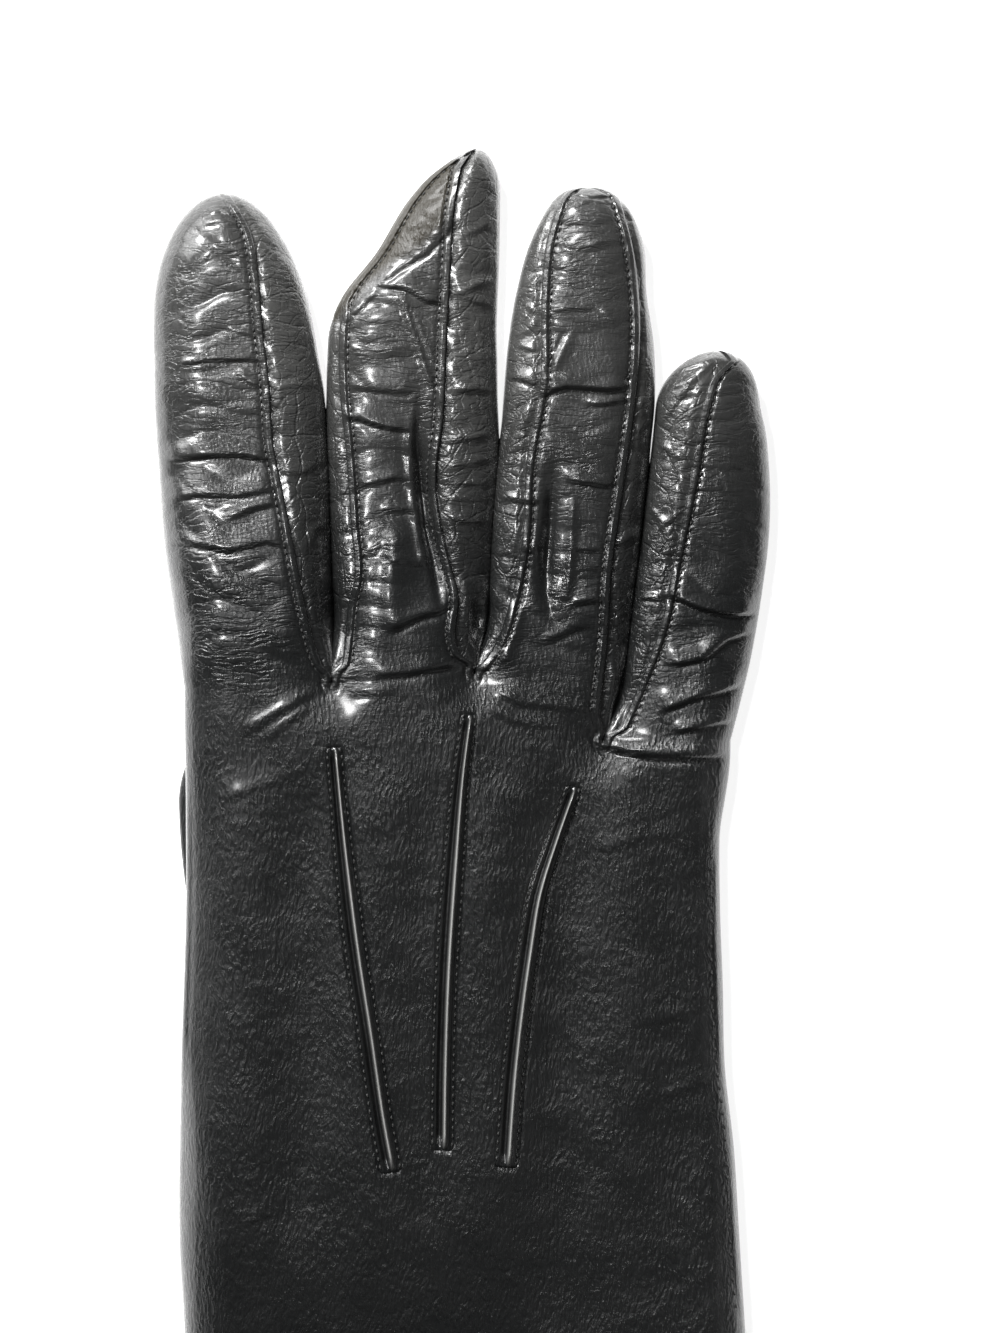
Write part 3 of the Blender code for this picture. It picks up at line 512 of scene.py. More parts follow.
@dataclass(frozen=True)
class Pattern:
    """The glove's driving sizes in metres, and its plan and heights worked out from them."""

    palm_width: float = 0.086
    hand_length: float = 0.103
    finger_length: float = 0.0824
    arm_length: float = 0.375
    cuff_width: float = 0.136
    palm_thickness: float = 0.0098
    finger_thickness: float = 0.010
    cuff_thickness: float = 0.0112
    edge_height: float = 0.0042
    top_roll: float = 0.0085
    bottom_roll: float = 0.0042
    roll_power: float = 2.2
    crotch_share: float = 0.55
    finger_gap: float = 0.00005
    finger_overlap: float = 0.0004
    gap_start: float = 0.40
    gap_run: float = 0.15
    point_width: float = 0.0031
    point_bed: float = 0.0009
    point_round: float = 0.02
    point_top: float = 0.70
    point_taper: float = 2.2
    point_end: float = 0.62
    bottom_seam_inset: float = 0.0052
    crotch_reach: float = 0.12
    inset_limit: float = 0.3
    root_blend: float = 0.012
    root_share: float = 1 / 6
    thumb_length: float = 0.075
    thumb_width: float = 0.029
    thumb_thickness: float = 0.003
    thumb_roll: float = 0.0042
    thumb_clearance: float = 0.0003
    thumb_tip_drop: float = 0.041
    thumb_round_tip: float = 0.22
    thumb_round_root: float = 0.14
    palm_ramp: float = 0.008
    back_ramp: float = 0.034
    lip_width: float = 0.0011
    lip_height: float = 0.00034
    lip_drop: float = 0.0006
    lip_rise: float = 0.00018
    stitch_inset: float = 0.00150
    stitch_groove: float = 0.00040
    groove_width: float = 0.00028
    stitch_pitch: float = 0.00125
    finger_rows: int = 240
    hand_rows: int = 160
    arm_rows: int = 60
    finger_columns: int = 48

    def shift(self) -> Array:
        """From the pattern's own frame, on the middle crotch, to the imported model's frame."""
        low, high = (np.array(corner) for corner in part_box("trank"))
        cuff = (HAND_EDGES[-1].left + HAND_EDGES[-1].right) / 2 * self.palm_width
        return np.array([(low[0] + high[0]) / 2 - cuff, low[1] + self.hand_length + self.arm_length, 0.0])

    def crotch(self, i: int) -> tuple[float, float]:
        """Where two fingers part, in plan."""
        return CROTCHES[i][0] * self.palm_width, -CROTCHES[i][1] * self.hand_length

    def finger_shares(self) -> Array:
        """Shares up a finger at which its rows run, closer together where the tip rounds off."""
        t = np.arange(self.finger_rows + 1) / self.finger_rows
        return mix(t, 1 - (1 - t) ** 2, 0.45 + 0.5 * ease((t - 0.6) / 0.4))

    def finger_edges(self, i: int, v: Array) -> tuple[Array, Array]:
        """A finger's left and right edge at shares v of the way up it."""
        finger = FINGERS[i]
        width = finger.width * self.palm_width
        root_left, root_right = self.crotch(i)[0], self.crotch(i + 1)[0]
        middle = (root_left + root_right) / 2
        at_root = 1 - ease(v / self.root_blend)
        half_gap = mix(-self.finger_overlap, self.finger_gap / 2, ease((v - self.gap_start) / self.gap_run))
        left = middle + follow(finger.edges, v, "left") * width + half_gap * (i > 0)
        right = middle + follow(finger.edges, v, "right") * width - half_gap * (i < len(FINGERS) - 1)
        left = mix(left, root_left, at_root)
        right = mix(right, root_right, at_root)
        past = np.clip((v - finger.tip_start) / (1 - finger.tip_start), 0.0, 1.0)
        share = (1 - past**finger.tip_power) ** (1 / finger.tip_power)
        centre, half = (left + right) / 2, (right - left) / 2 * share
        return centre - half, centre + half

    def finger_plan(self, i: int, v: Array, s: Array) -> Array:
        """Plan points at shares v up finger i and s across it."""
        left, right = self.finger_edges(i, v)
        left_y, right_y = self.crotch(i)[1], self.crotch(i + 1)[1]
        root_y = (left_y + right_y) / 2
        lean = (left_y + (right_y - left_y) * s - root_y) * (1 - v) ** 2
        y = root_y + v * FINGERS[i].length * self.finger_length + lean
        return np.stack([left + (right - left) * s, y], axis=-1)

    def seam_share(self, i: int, right_side: bool, v: Array) -> Array:
        """Where a finger's top seam lies across it, as shares of its width.

        Args:
            i: The finger, 0 for the index.
            right_side: Which of its two seams.
            v: Shares up the finger.

        Returns:
            The seam's share across at each v, 0 or 1 where the finger has no seam.
        """
        outer = 1.0 if right_side else 0.0
        share = np.full(np.shape(v), outer)
        for seam in SEAMS:
            if (seam.finger, seam.right_side) != (i, right_side):
                continue
            line = PHOTO.plan(seam.pixels)[::-1]
            left, right = self.finger_edges(i, v)
            width = np.maximum(right - left, MM)
            share = np.full(np.shape(v), abs(outer - 0.2))
            for _ in range(6):
                y = self.finger_plan(i, v, share)[..., 1]
                x = smooth_through(line[:, 1], line[:, 0], y)
                share = np.clip((x - left) / width, 0.0, 1.0)
            top = float(line[-1, 1])
            held = share[np.argmin(np.abs(self.finger_plan(i, v, share)[..., 1] - top))] if np.ndim(v) else share
            share = np.where(self.finger_plan(i, v, share)[..., 1] > top, held, share)
        return mix(share, outer, 1 - ease(v / (3 * self.root_blend)))

    def bottom_seam_share(self, i: int, right_side: bool, v: Array) -> Array:
        """Where a finger's bottom seam lies across it, as shares of its width."""
        outer_side = (i == 0 and not right_side) or (i == len(FINGERS) - 1 and right_side)
        left, right = self.finger_edges(i, v)
        reach = self.bottom_seam_inset * ease(v / self.crotch_reach)
        inset = np.minimum(reach / np.maximum(right - left, MM), self.inset_limit) * (not outer_side)
        return 1 - inset if right_side else inset

    def hand_edges(self, y: Array) -> tuple[Array, Array]:
        """The hand's or arm's left and right edge at levels y."""
        along = -y / self.hand_length
        left = follow(HAND_EDGES, along, "left") * self.palm_width
        right = follow(HAND_EDGES, along, "right") * self.palm_width
        down = (-y - self.hand_length) / self.arm_length
        grown = (self.cuff_width - (right - left)) * follow(ARM_FLARE, down, "share")
        drift = follow(ARM_FLARE, down, "drift") * self.cuff_width
        return left - grown / 2 + drift, right + grown / 2 + drift

    def point_line(self, k: int, y: Array) -> Array:
        """The middle line of stitched point k at levels y."""
        return follow(POINTS[k][1], -y / self.hand_length, "across") * self.palm_width

    def hand_plan(self, level: Array, across: Array) -> Array:
        """Plan points in the hand (levels 0 to 1) or the arm (1 to 2).

        Args:
            level: Levels down from the finger roots.
            across: Column places, 0 to 4, whole at the crotch lines.

        Returns:
            Plan points. Columns that start at a crotch follow the stitched point below it.
        """
        xs = np.array([self.crotch(i)[0] for i in range(len(CROTCHES))])
        ys = np.array([self.crotch(i)[1] for i in range(len(CROTCHES))])
        segment = np.clip(np.floor(across), 0, len(FINGERS) - 1).astype(int)
        t = across - segment
        top = mix(ys[segment], ys[segment + 1], t)
        y = np.where(
            level <= 1, top * (1 - level) - self.hand_length * level,
            -self.hand_length - self.arm_length * (level - 1),
        )
        left, right = self.hand_edges(y)
        at_root = 1 - ease(level / self.root_share)
        lines = [mix(left, xs[0], at_root)]
        for k in range(len(POINTS)):
            rows = POINTS[k][1]
            low = -rows[-1].along * self.hand_length
            high = -rows[0].along * self.hand_length
            onto = ease((ys[k + 1] - y) / (ys[k + 1] - high)) * (1 - at_root)
            line = mix(xs[k + 1], self.point_line(k, y), onto)
            end_left, end_right = self.hand_edges(np.array(low))
            share = (self.point_line(k, np.array(low)) - end_left) / (end_right - end_left)
            lines.append(np.where(y < low, left + (right - left) * share, line))
        lines.append(mix(right, xs[-1], at_root))
        lines = np.stack(lines)
        here = np.arange(len(segment))
        return np.stack([mix(lines[segment, here], lines[segment + 1, here], t), y], axis=-1)

    def point_half(self, t: Array) -> Array:
        """A stitched point's half-width at shares t down it, narrower at its upper end and blunt at both."""
        blunt = np.sqrt(np.clip(np.minimum(t, 1 - t) / self.point_round, 0.0, 1.0))
        narrow = self.point_top + (1 - self.point_top) * ease(t * self.point_taper)
        return self.point_width / 2 * narrow * (self.point_end + (1 - self.point_end) * blunt)

    def thumb_line(self, t: Array) -> tuple[Array, Array, Array]:
        """The thumb's middle, level and half-width at shares t from its root."""
        x = follow(THUMB_ROWS, t, "centre") * self.palm_width
        y = -self.thumb_tip_drop * self.hand_length - (1 - t) * self.thumb_length
        tip = np.clip((t - 1 + self.thumb_round_tip) / self.thumb_round_tip, 0.0, 1.0)
        root = np.clip((self.thumb_round_root - t) / self.thumb_round_root, 0.0, 1.0)
        share = np.sqrt(1 - tip**2) * np.sqrt(1 - root**2)
        return x, y, follow(THUMB_ROWS, t, "width") * self.thumb_width / 2 * share

    def thumb_lift(self, points: Array, ramp: float) -> Array:
        """Share by which the thumb below lifts the skin: 1 over it, 0 past the ramp."""
        past = np.full(len(points), np.inf)
        for x, y, half in zip(*self.thumb_line(np.linspace(0.0, 1.0, 31))):
            past = np.minimum(past, np.hypot(points[:, 0] - x, points[:, 1] - y) - half)
        return 1 - ease((past - self.thumb_roll) / ramp)

    def roll(self, distance: Array, radius: float) -> Array:
        """The rounded rise of a soft edge: 0 at the edge, 1 from one radius in."""
        t = np.clip(distance / radius, 0.0, 1.0)
        return (1 - (1 - t) ** self.roll_power) ** (1 / self.roll_power)

    def outline(self, i: int) -> Array:
        """A finger's outline in plan, from its left root over the tip to its right root."""
        v = self.finger_shares()
        left = self.finger_plan(i, v, np.zeros_like(v))
        right = self.finger_plan(i, v, np.ones_like(v))
        return np.concatenate([left, right[::-1][1:]])

    def hand_sides(self) -> list[Array]:
        """The hand's and arm's two side lines in plan."""
        level = np.concatenate([
            np.arange(self.hand_rows + 1) / self.hand_rows, 1 + np.arange(1, self.arm_rows + 1) / self.arm_rows,
        ])
        return [self.hand_plan(level, np.full_like(level, side)) for side in (0.0, float(len(FINGERS)))]

    def lip(self, distance: Array, along: Array) -> Array:
        """The raised and stitched border of the back along a seam.

        Args:
            distance: How far in from the seam's cut edge.
            along: Length along the seam.

        Returns:
            Height over the plain leather.
        """
        across = np.clip(distance, 0, 2 * self.lip_width) / self.lip_width
        crown = np.sqrt(np.clip(1 - (across - 0.5) ** 4 * 2.0, 0, 1))
        lifted = (self.lip_height + self.lip_drop) * ease(distance / self.lip_rise) - self.lip_drop
        ridge = np.where(distance < self.lip_width, mix(lifted, lifted * crown, 0.3), 0.0)
        fall = (1 - ease((distance - 0.8 * self.lip_width) / (0.45 * self.lip_width))) * self.lip_height
        ridge = np.where(distance < self.lip_width * 0.8, ridge, fall)
        beat = 0.6 + 0.4 * np.cos(2 * np.pi * along / self.stitch_pitch)
        return ridge - self.stitch_groove * bell(distance - self.stitch_inset, self.groove_width) * beat

    def base(self, points: Array, thickness: Array, gap: Array, side: Side) -> Array:
        """The plain leather's height at plan points, before its creases.

        Args:
            points: Plan points.
            thickness: The flattened glove's full thickness there.
            gap: How far each point lies in from the outline.
            side: Back or palm.

        Returns:
            The heights.
        """
        raised = self.thumb_thickness + self.thumb_clearance
        near = points[:, 1] < self.back_ramp + self.thumb_roll
        under, over = np.zeros(len(points)), np.zeros(len(points))
        under[near] = raised * self.thumb_lift(points[near], self.palm_ramp)
        over[near] = raised * self.thumb_lift(points[near], self.back_ramp)
        crotch_gap = np.full(len(points), np.inf)
        for k in range(1, len(CROTCHES) - 1):
            x, y = self.crotch(k)
            crotch_gap = np.minimum(crotch_gap, np.hypot(points[:, 0] - x, points[:, 1] - y))
        kept = self.crotch_share * bell(crotch_gap, self.bottom_roll)
        edge = self.edge_height + under
        if side is Side.PALM:
            sink = kept + (1 - kept) * self.roll(gap, self.bottom_roll)
            return edge + (under - edge) * sink
        rise = kept + (1 - kept) * self.roll(gap, self.top_roll)
        return edge + (thickness + over - edge) * rise


@dataclass
class Leather:
    """The leather's surface: the pattern's plan with every fold, crease and seam in its heights."""

    pattern: Pattern
    swell_gain: float = 1.25
    pinches: tuple[tuple[float, float, float, float], ...] = (
        (5.3, 0.22, 0.10, 0.4), (3.9, 0.15, -0.18, 2.1), (6.7, 0.20, 0.35, 3.7),
    )
    point_swell: float = 0.55
    point_pitch: float = 19.5
    crease_margin: float = 4.0
    crease_taper: float = 0.003
    valley_taper: float = 0.45
    reach_gain: float = 1.5
    groove_offset: float = 1.3
    seam_hold: float = 0.0012
    outlines: list[Array] = field(init=False)
    sides: list[Array] = field(init=False)
    lines: dict[str, Array] = field(init=False)

    def __post_init__(self) -> None:
        """Works out the outlines that every height is measured from."""
        self.outlines = [self.pattern.outline(i) for i in range(len(FINGERS))]
        self.sides = self.pattern.hand_sides()
        self.lines = {crease.name: PHOTO.plan(crease.pixels) for crease in CREASES}

    def crease_height(self, points: Array, places: Iterable[Place]) -> Array:
        """What the creases of some places add to the leather's height at plan points."""
        total = np.zeros(len(points))
        wanted = set(places)
        for crease in CREASES:
            if crease.place not in wanted:
                continue
            line = self.lines[crease.name]
            margin = self.crease_margin * MM * max(crease.reach, crease.drop, crease.width)
            low, high = line.min(axis=0) - margin, line.max(axis=0) + margin
            near = np.all((points > low) & (points < high), axis=1)
            if not near.any():
                continue
            gap, side, share = lines_near(points[near], line)
            length = np.sqrt((np.diff(line, axis=0) ** 2).sum(axis=1)).sum()
            taper = self.valley_taper * length if crease.lip == 0 else min(self.crease_taper, length / 3)
            fade = ease(np.minimum(share, 1 - share) * length / taper)
            broad = self.reach_gain * crease.reach * MM
            swell = self.swell_gain * np.where(side > 0, bell(gap, broad), bell(gap, crease.drop * MM))
            past = self.groove_offset * crease.drop * MM if crease.lip > 0 else 0.0
            wide = crease.width * MM * np.where((crease.lip == 0) & (side > 0), crease.reach, 1.0)
            wide = wide * np.where((crease.lip == 0) & (side < 0), crease.drop, 1.0)
            pressed = np.exp(-(((gap * side + past) / wide) ** 2))
            total[near] += fade * MM * (crease.lip * swell - crease.groove * pressed)
        return total

    def undulation(self, points: Array) -> Array:
        """The slow, soft unevenness of worn leather lying flat."""
        x, y = points[:, 0] / MM, points[:, 1] / MM
        finger = ease((y + 8.0) / 16.0)
        # Short swells on the fingers
        waves = 0.10 * np.sin(y / 3.1 + 0.6 * np.sin(x / 7.3)) * np.sin(x / 5.7 + 1.3)
        waves += 0.07 * np.sin(y / 1.7 + 1.1 * np.sin(x / 4.1 + 2.0)) * np.sin(x / 3.3 + 0.4 * y / 5.0)
        # Slow swells on the hand, with a broad hollow near each stitched point
        slow = 0.16 * np.sin(x / 9.0 + 0.9 * np.sin(y / 21.0)) * np.sin(y / 17.0 + 0.7)
        slow += 0.10 * np.sin(x / 5.0 + y / 31.0) * np.sin(y / 12.0 + 2.1)
        slow += 0.05 * np.sin(x / 1.9 + 0.8 * np.sin(y / 9.0)) * np.sin(y / 6.3 + 1.1 * np.sin(x / 5.0))
        over_points = ease((-y - 12.0) / 12.0) * (1 - ease((-y - 72.0) / 30.0))
        slow -= self.point_swell * np.cos(2 * np.pi * (x + 4.5) / self.point_pitch) * over_points
        # Soft sagging folds on the arm
        arm = ease((-y - 105.0) / 60.0)
        sag = 0.5 * np.sin(y / 11.0 + 1.6 * np.sin(x / 19.0)) * np.sin(x / 23.0 + y / 61.0)
        sag += 0.35 * np.sin((y + 0.6 * x) / 7.5 + np.sin(x / 12.0)) * np.sin(y / 43.0)
        return MM * (waves * finger + slow * (1 - 0.6 * finger) + sag * arm + self.pinch_depth(x, y) * finger)

    def pinch_depth(self, x: Array, y: Array) -> Array:
        """Creases across the fingers, sharp in their grooves and round between, in patches.

        Args:
            x: Plan places across, in millimetres.
            y: Plan places along, in millimetres.

        Returns:
            Their heights in millimetres, none above 0.
        """
        total = np.zeros(len(x))
        for pitch, depth, slant, phase in self.pinches:
            bend = 0.9 * np.sin(x / 4.3 + phase) + 0.5 * np.sin(x / 2.3 + 2.3 * phase + y / 9.0)
            wave = np.abs(np.sin(np.pi * (y + slant * x) / pitch + bend))
            patch = ease(0.45 + 0.9 * np.sin(x / 6.1 + 2 * phase) * np.sin(y / 8.3 + 3.1 * phase))
            total -= depth * (1 - wave) ** 2 * patch
        return total

    def bed(self, points: Array) -> Array:
        """How far the skin lies lower under the stitched points, which cover it there."""
        pattern = self.pattern
        total = np.zeros(len(points))
        for _, rows in POINTS:
            along = np.linspace(rows[0].along, rows[-1].along, 40)
            x = follow(rows, along, "across") * pattern.palm_width
            line = np.stack([x, -along * pattern.hand_length], axis=-1)
            low, high = line.min(axis=0) - pattern.point_width, line.max(axis=0) + pattern.point_width
            near = np.all((points > low) & (points < high), axis=1)
            if near.any():
                gap, _, share = lines_near(points[near], line)
                inside = 1 - ease((gap / pattern.point_half(share) - 1.0) / 0.25)
                inside *= ease(np.minimum(share, 1 - share) / (0.6 * pattern.point_round))
                total[near] = np.maximum(total[near], pattern.point_bed * inside)
        return total

    def seam_relief(self, i: int, v: Array, s: Array) -> Array:
        """The lips and stitch grooves along a finger's two top seams."""
        left, right = self.pattern.finger_edges(i, v)
        width = right - left
        along = v * FINGERS[i].length * self.pattern.finger_length
        total = np.zeros(len(v))
        grown = ease(v / (2 * self.pattern.root_blend))
        for right_side in (False, True):
            if (i == 0 and not right_side) or (i == len(FINGERS) - 1 and right_side):
                continue
            seam = self.pattern.seam_share(i, right_side, v)
            distance = (seam - s) * width if right_side else (s - seam) * width
            total += self.pattern.lip(np.maximum(distance, 0.0), along)
        crotch = self.crotch_relief(self.pattern.finger_plan(i, v, s))
        return mix(crotch, total, grown)

    def crotch_relief(self, points: Array) -> Array:
        """The lip where two seams meet round a crotch."""
        total = np.zeros(len(points))
        for k in range(1, len(CROTCHES) - 1):
            gap = np.hypot(points[:, 0] - self.pattern.crotch(k)[0], points[:, 1] - self.pattern.crotch(k)[1])
            total += self.pattern.lip(gap, gap * 0.0) * (gap < 3 * self.pattern.lip_width)
        return total

    def finger_surface(self, i: int, v: Array, s: Array, side: Side, stitched: bool = True) -> Array:
        """Points on the skin of finger i.

        Args:
            i: The finger, 0 for the index.
            v: Shares up it.
            s: Shares across it.
            side: Back or palm.
            stitched: Whether the seams' lips are raised.

        Returns:
            Points, one a row.
        """
        pattern = self.pattern
        points = pattern.finger_plan(i, v, s)
        gap, _, _ = lines_near(points, self.outlines[i])
        own = pattern.finger_thickness * FINGERS[i].thickness
        thickness = mix(pattern.palm_thickness, own, ease(v / 0.3))
        z = pattern.base(points, thickness, gap, side)
        if side is Side.BACK:
            held = ease(gap / self.seam_hold)
            z += (self.crease_height(points, (Place(i), Place.HAND)) + self.undulation(points)) * held
            if stitched:
                z += self.seam_relief(i, v, s)
        return np.column_stack([points, z])

    def hand_height(self, points: Array, side: Side, bedded: bool = False) -> Array:
        """Heights of the hand's or arm's skin at plan points.

        Args:
            points: Plan points.
            side: Back or palm.
            bedded: Whether the skin is lowered under the stitched points.

        Returns:
            The heights.
        """
        pattern = self.pattern
        gap = np.full(len(points), np.inf)
        reach = pattern.finger_rows // 3
        for line in self.sides:
            gap = np.minimum(gap, lines_near(points, line)[0])
        high = points[:, 1] > -0.04
        for i, outline in enumerate(self.outlines):
            inner = [outline[:reach]] * (i > 0) + [outline[-reach:]] * (i < len(FINGERS) - 1)
            for line in inner:
                gap[high] = np.minimum(gap[high], lines_near(points[high], line)[0])
        down = -points[:, 1] / pattern.hand_length
        thickness = mix(pattern.palm_thickness, pattern.cuff_thickness, ease(down - 0.6))
        z = pattern.base(points, thickness, gap, side)
        if side is Side.BACK:
            held = ease(gap / self.seam_hold)
            z += (self.crease_height(points, Place) + self.undulation(points)) * held + self.crotch_relief(points)
            if bedded:
                z -= self.bed(points)
        return z

    def hand_surface(self, level: Array, across: Array, side: Side) -> Array:
        """Points on the skin of the hand and arm."""
        points = self.pattern.hand_plan(level, across)
        return np.column_stack([points, self.hand_height(points, side, bedded=True)])

    def sleeve_ring(self, level: float, count: int, outwards: float) -> Array:
        """A closed ring of points round the arm.

        Args:
            level: Level down the arm, 1 at the wrist and 2 at the mouth.
            count: Points across one face. The ring has twice as many runs.
            outwards: How far the ring stands off the skin. Below 0 it lies inside.

        Returns:
            Points from the left edge over the back to the right edge, and back under the palm.
        """
        across = len(FINGERS) * crowd(np.arange(count + 1) / count, 0.8)
        back = self.hand_surface(np.full(count + 1, level), across, Side.BACK)
        palm = self.hand_surface(np.full(count + 1, level), across, Side.PALM)
        ring = np.concatenate([back, palm[::-1][1:]])
        run = np.roll(ring[:-1], -1, axis=0) - np.roll(ring[:-1], 1, axis=0)
        run = np.concatenate([run, run[:1]])
        run /= np.maximum(np.hypot(run[:, 0], run[:, 2]), 1e-9)[:, None]
        ring[:, 0] -= run[:, 2] * outwards
        ring[:, 2] = np.maximum(ring[:, 2] + run[:, 0] * outwards, 0.0)
        return ring


PlaceRule = Callable[[Array, Array], Array]


def add_grid(mesh: bmesh.types.BMesh, columns: int, rows: int, place: PlaceRule, flip: bool = False) -> None:
    """Adds a grid to a mesh and moves its points.

    Args:
        mesh: The mesh to add to.
        columns: Faces across.
        rows: Faces up.
        place: Gives the points for arrays of column and row numbers.
        flip: Whether its faces are turned over.
    """
    made = bmesh.ops.create_grid(mesh, x_segments=columns, y_segments=rows, size=0.5)["verts"]
    flat = np.array([vert.co.to_tuple() for vert in made])
    column = np.rint((flat[:, 0] + 0.5) * columns)
    row = np.rint((flat[:, 1] + 0.5) * rows)
    for vert, point in zip(made, place(column, row).tolist()):
        vert.co = point
    if flip:
        bmesh.ops.reverse_faces(mesh, faces=list({face for vert in made for face in vert.link_faces}))


def weld(mesh: bmesh.types.BMesh, distance: float = 2e-6) -> None:
    """Joins the grids of one piece where their edges meet."""
    bmesh.ops.remove_doubles(mesh, verts=mesh.verts, dist=distance)
    bmesh.ops.dissolve_degenerate(mesh, edges=mesh.edges, dist=distance / 2)


def finish_piece(
    name: str, mesh: bmesh.types.BMesh, shift: Array, material: bpy.types.Material, nodes: Sequence[str]
) -> bpy.types.Object:
    """Makes an object from a finished mesh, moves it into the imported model's frame and lets it ride on the glove.

    Args:
        name: The piece's name.
        mesh: Its mesh, in the pattern's frame. It is used up.
        shift: From the pattern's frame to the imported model's.
        material: Its finish.
        nodes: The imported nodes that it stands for.

    Returns:
        The object.
    """
    bmesh.ops.translate(mesh, vec=Vector(shift), verts=mesh.verts)
    data = bpy.data.meshes.new(name)
    mesh.to_mesh(data)
    mesh.free()
    data.materials.append(material)
    data.shade_smooth()
    piece = bpy.data.objects.new(name, data)
    bpy.context.scene.collection.objects.link(piece)
    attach(piece, "root")
    if nodes:
        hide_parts(*nodes)
    LOG.info("%s: %d faces", name, len(data.polygons))
    return piece


@dataclass(frozen=True)
class SocketValue:
    """One input of a node group, with its default."""

    name: str
    kind: str
    value: float | tuple[float, ...]


class NodeBench:
    """Adds nodes to a tree and wires them."""

    def __init__(self, tree: bpy.types.NodeTree) -> None:
        """Starts on an emptied tree."""
        self.tree = tree

    def add(self, kind: str, **settings: object) -> bpy.types.Node:
        """Adds a node and sets its properties, or its inputs where a setting is named in_ and a number.

        Args:
            kind: The node's type name.
            settings: Properties by name, and inputs as in_0, in_1 and so on.

        Returns:
            The node.
        """
        node = self.tree.nodes.new(kind)
        for name, value in settings.items():
            if name.startswith("in_"):
                self.feed(node.inputs[int(name[3:])], value)
            else:
                setattr(node, name, value)
        return node

    def feed(self, socket: bpy.types.NodeSocket, value: object) -> None:
        """Sets an input to a value, or wires it to an output."""
        if isinstance(value, bpy.types.NodeSocket):
            self.tree.links.new(value, socket)
        else:
            socket.default_value = value

    def math(self, operation: str, *values: object, clamp: bool = False) -> bpy.types.NodeSocket:
        """The result of a Math node."""
        node = self.add("ShaderNodeMath", operation=operation, use_clamp=clamp)
        for socket, value in zip(node.inputs, values):
            self.feed(socket, value)
        return node.outputs[0]

    def ramp(
        self, value: object, low: float, high: float, start: float = 0.0, end: float = 1.0
    ) -> bpy.types.NodeSocket:
        """Maps a value smoothly from one range to another."""
        node = self.add("ShaderNodeMapRange", interpolation_type="SMOOTHSTEP")
        for socket, given in zip(node.inputs, (value, low, high, start, end)):
            self.feed(socket, given)
        return node.outputs[0]

    def scaled(self, vector: bpy.types.NodeSocket, by: tuple[float, float, float]) -> bpy.types.NodeSocket:
        """A vector stretched along its axes."""
        node = self.add("ShaderNodeVectorMath", operation="MULTIPLY")
        self.feed(node.inputs[0], vector)
        node.inputs[1].default_value = by
        return node.outputs[0]

    def noise(self, vector: bpy.types.NodeSocket, scale: float, detail: float = 2.0) -> bpy.types.NodeSocket:
        """The grey value of a Noise Texture."""
        node = self.add("ShaderNodeTexNoise")
        self.feed(node.inputs["Vector"], vector)
        node.inputs["Scale"].default_value = scale
        node.inputs["Detail"].default_value = detail
        return node.outputs["Fac"]


def new_group(
    name: str, inputs: Sequence[SocketValue], outputs: Sequence[str]
) -> tuple[bpy.types.NodeTree, NodeBench]:
    """Starts a shader node group.

    Args:
        name: The group's name.
        inputs: Its inputs.
        outputs: The names of its outputs, all grey values.

    Returns:
        The group, and a bench to build it on.
    """
    tree = bpy.data.node_groups.new(name, "ShaderNodeTree")
    for given in inputs:
        socket = tree.interface.new_socket(name=given.name, in_out="INPUT", socket_type=given.kind)
        if given.kind != "NodeSocketVector":
            socket.default_value = given.value
    for output in outputs:
        tree.interface.new_socket(name=output, in_out="OUTPUT", socket_type="NodeSocketFloat")
    return tree, NodeBench(tree)


@dataclass(frozen=True)
class Grain:
    """How fine each layer of the leather's grain is, as cells to a metre, and how far its lines wander."""

    wander_scale: float = 160.0
    wander: float = 0.0022
    fibre_scale: float = 2100.0
    fibre_stretch: float = 0.34
    wrinkle_scale: float = 900.0
    wrinkle_stretch: float = 0.22
    wrinkle_width: float = 0.10
    net_scale: float = 420.0
    net_width: float = 0.09
    net_share: float = 0.6
    fold_scale: float = 170.0
    fold_width: float = 0.05
    pore_scale: float = 2600.0
    pore_stretch: float = 0.6


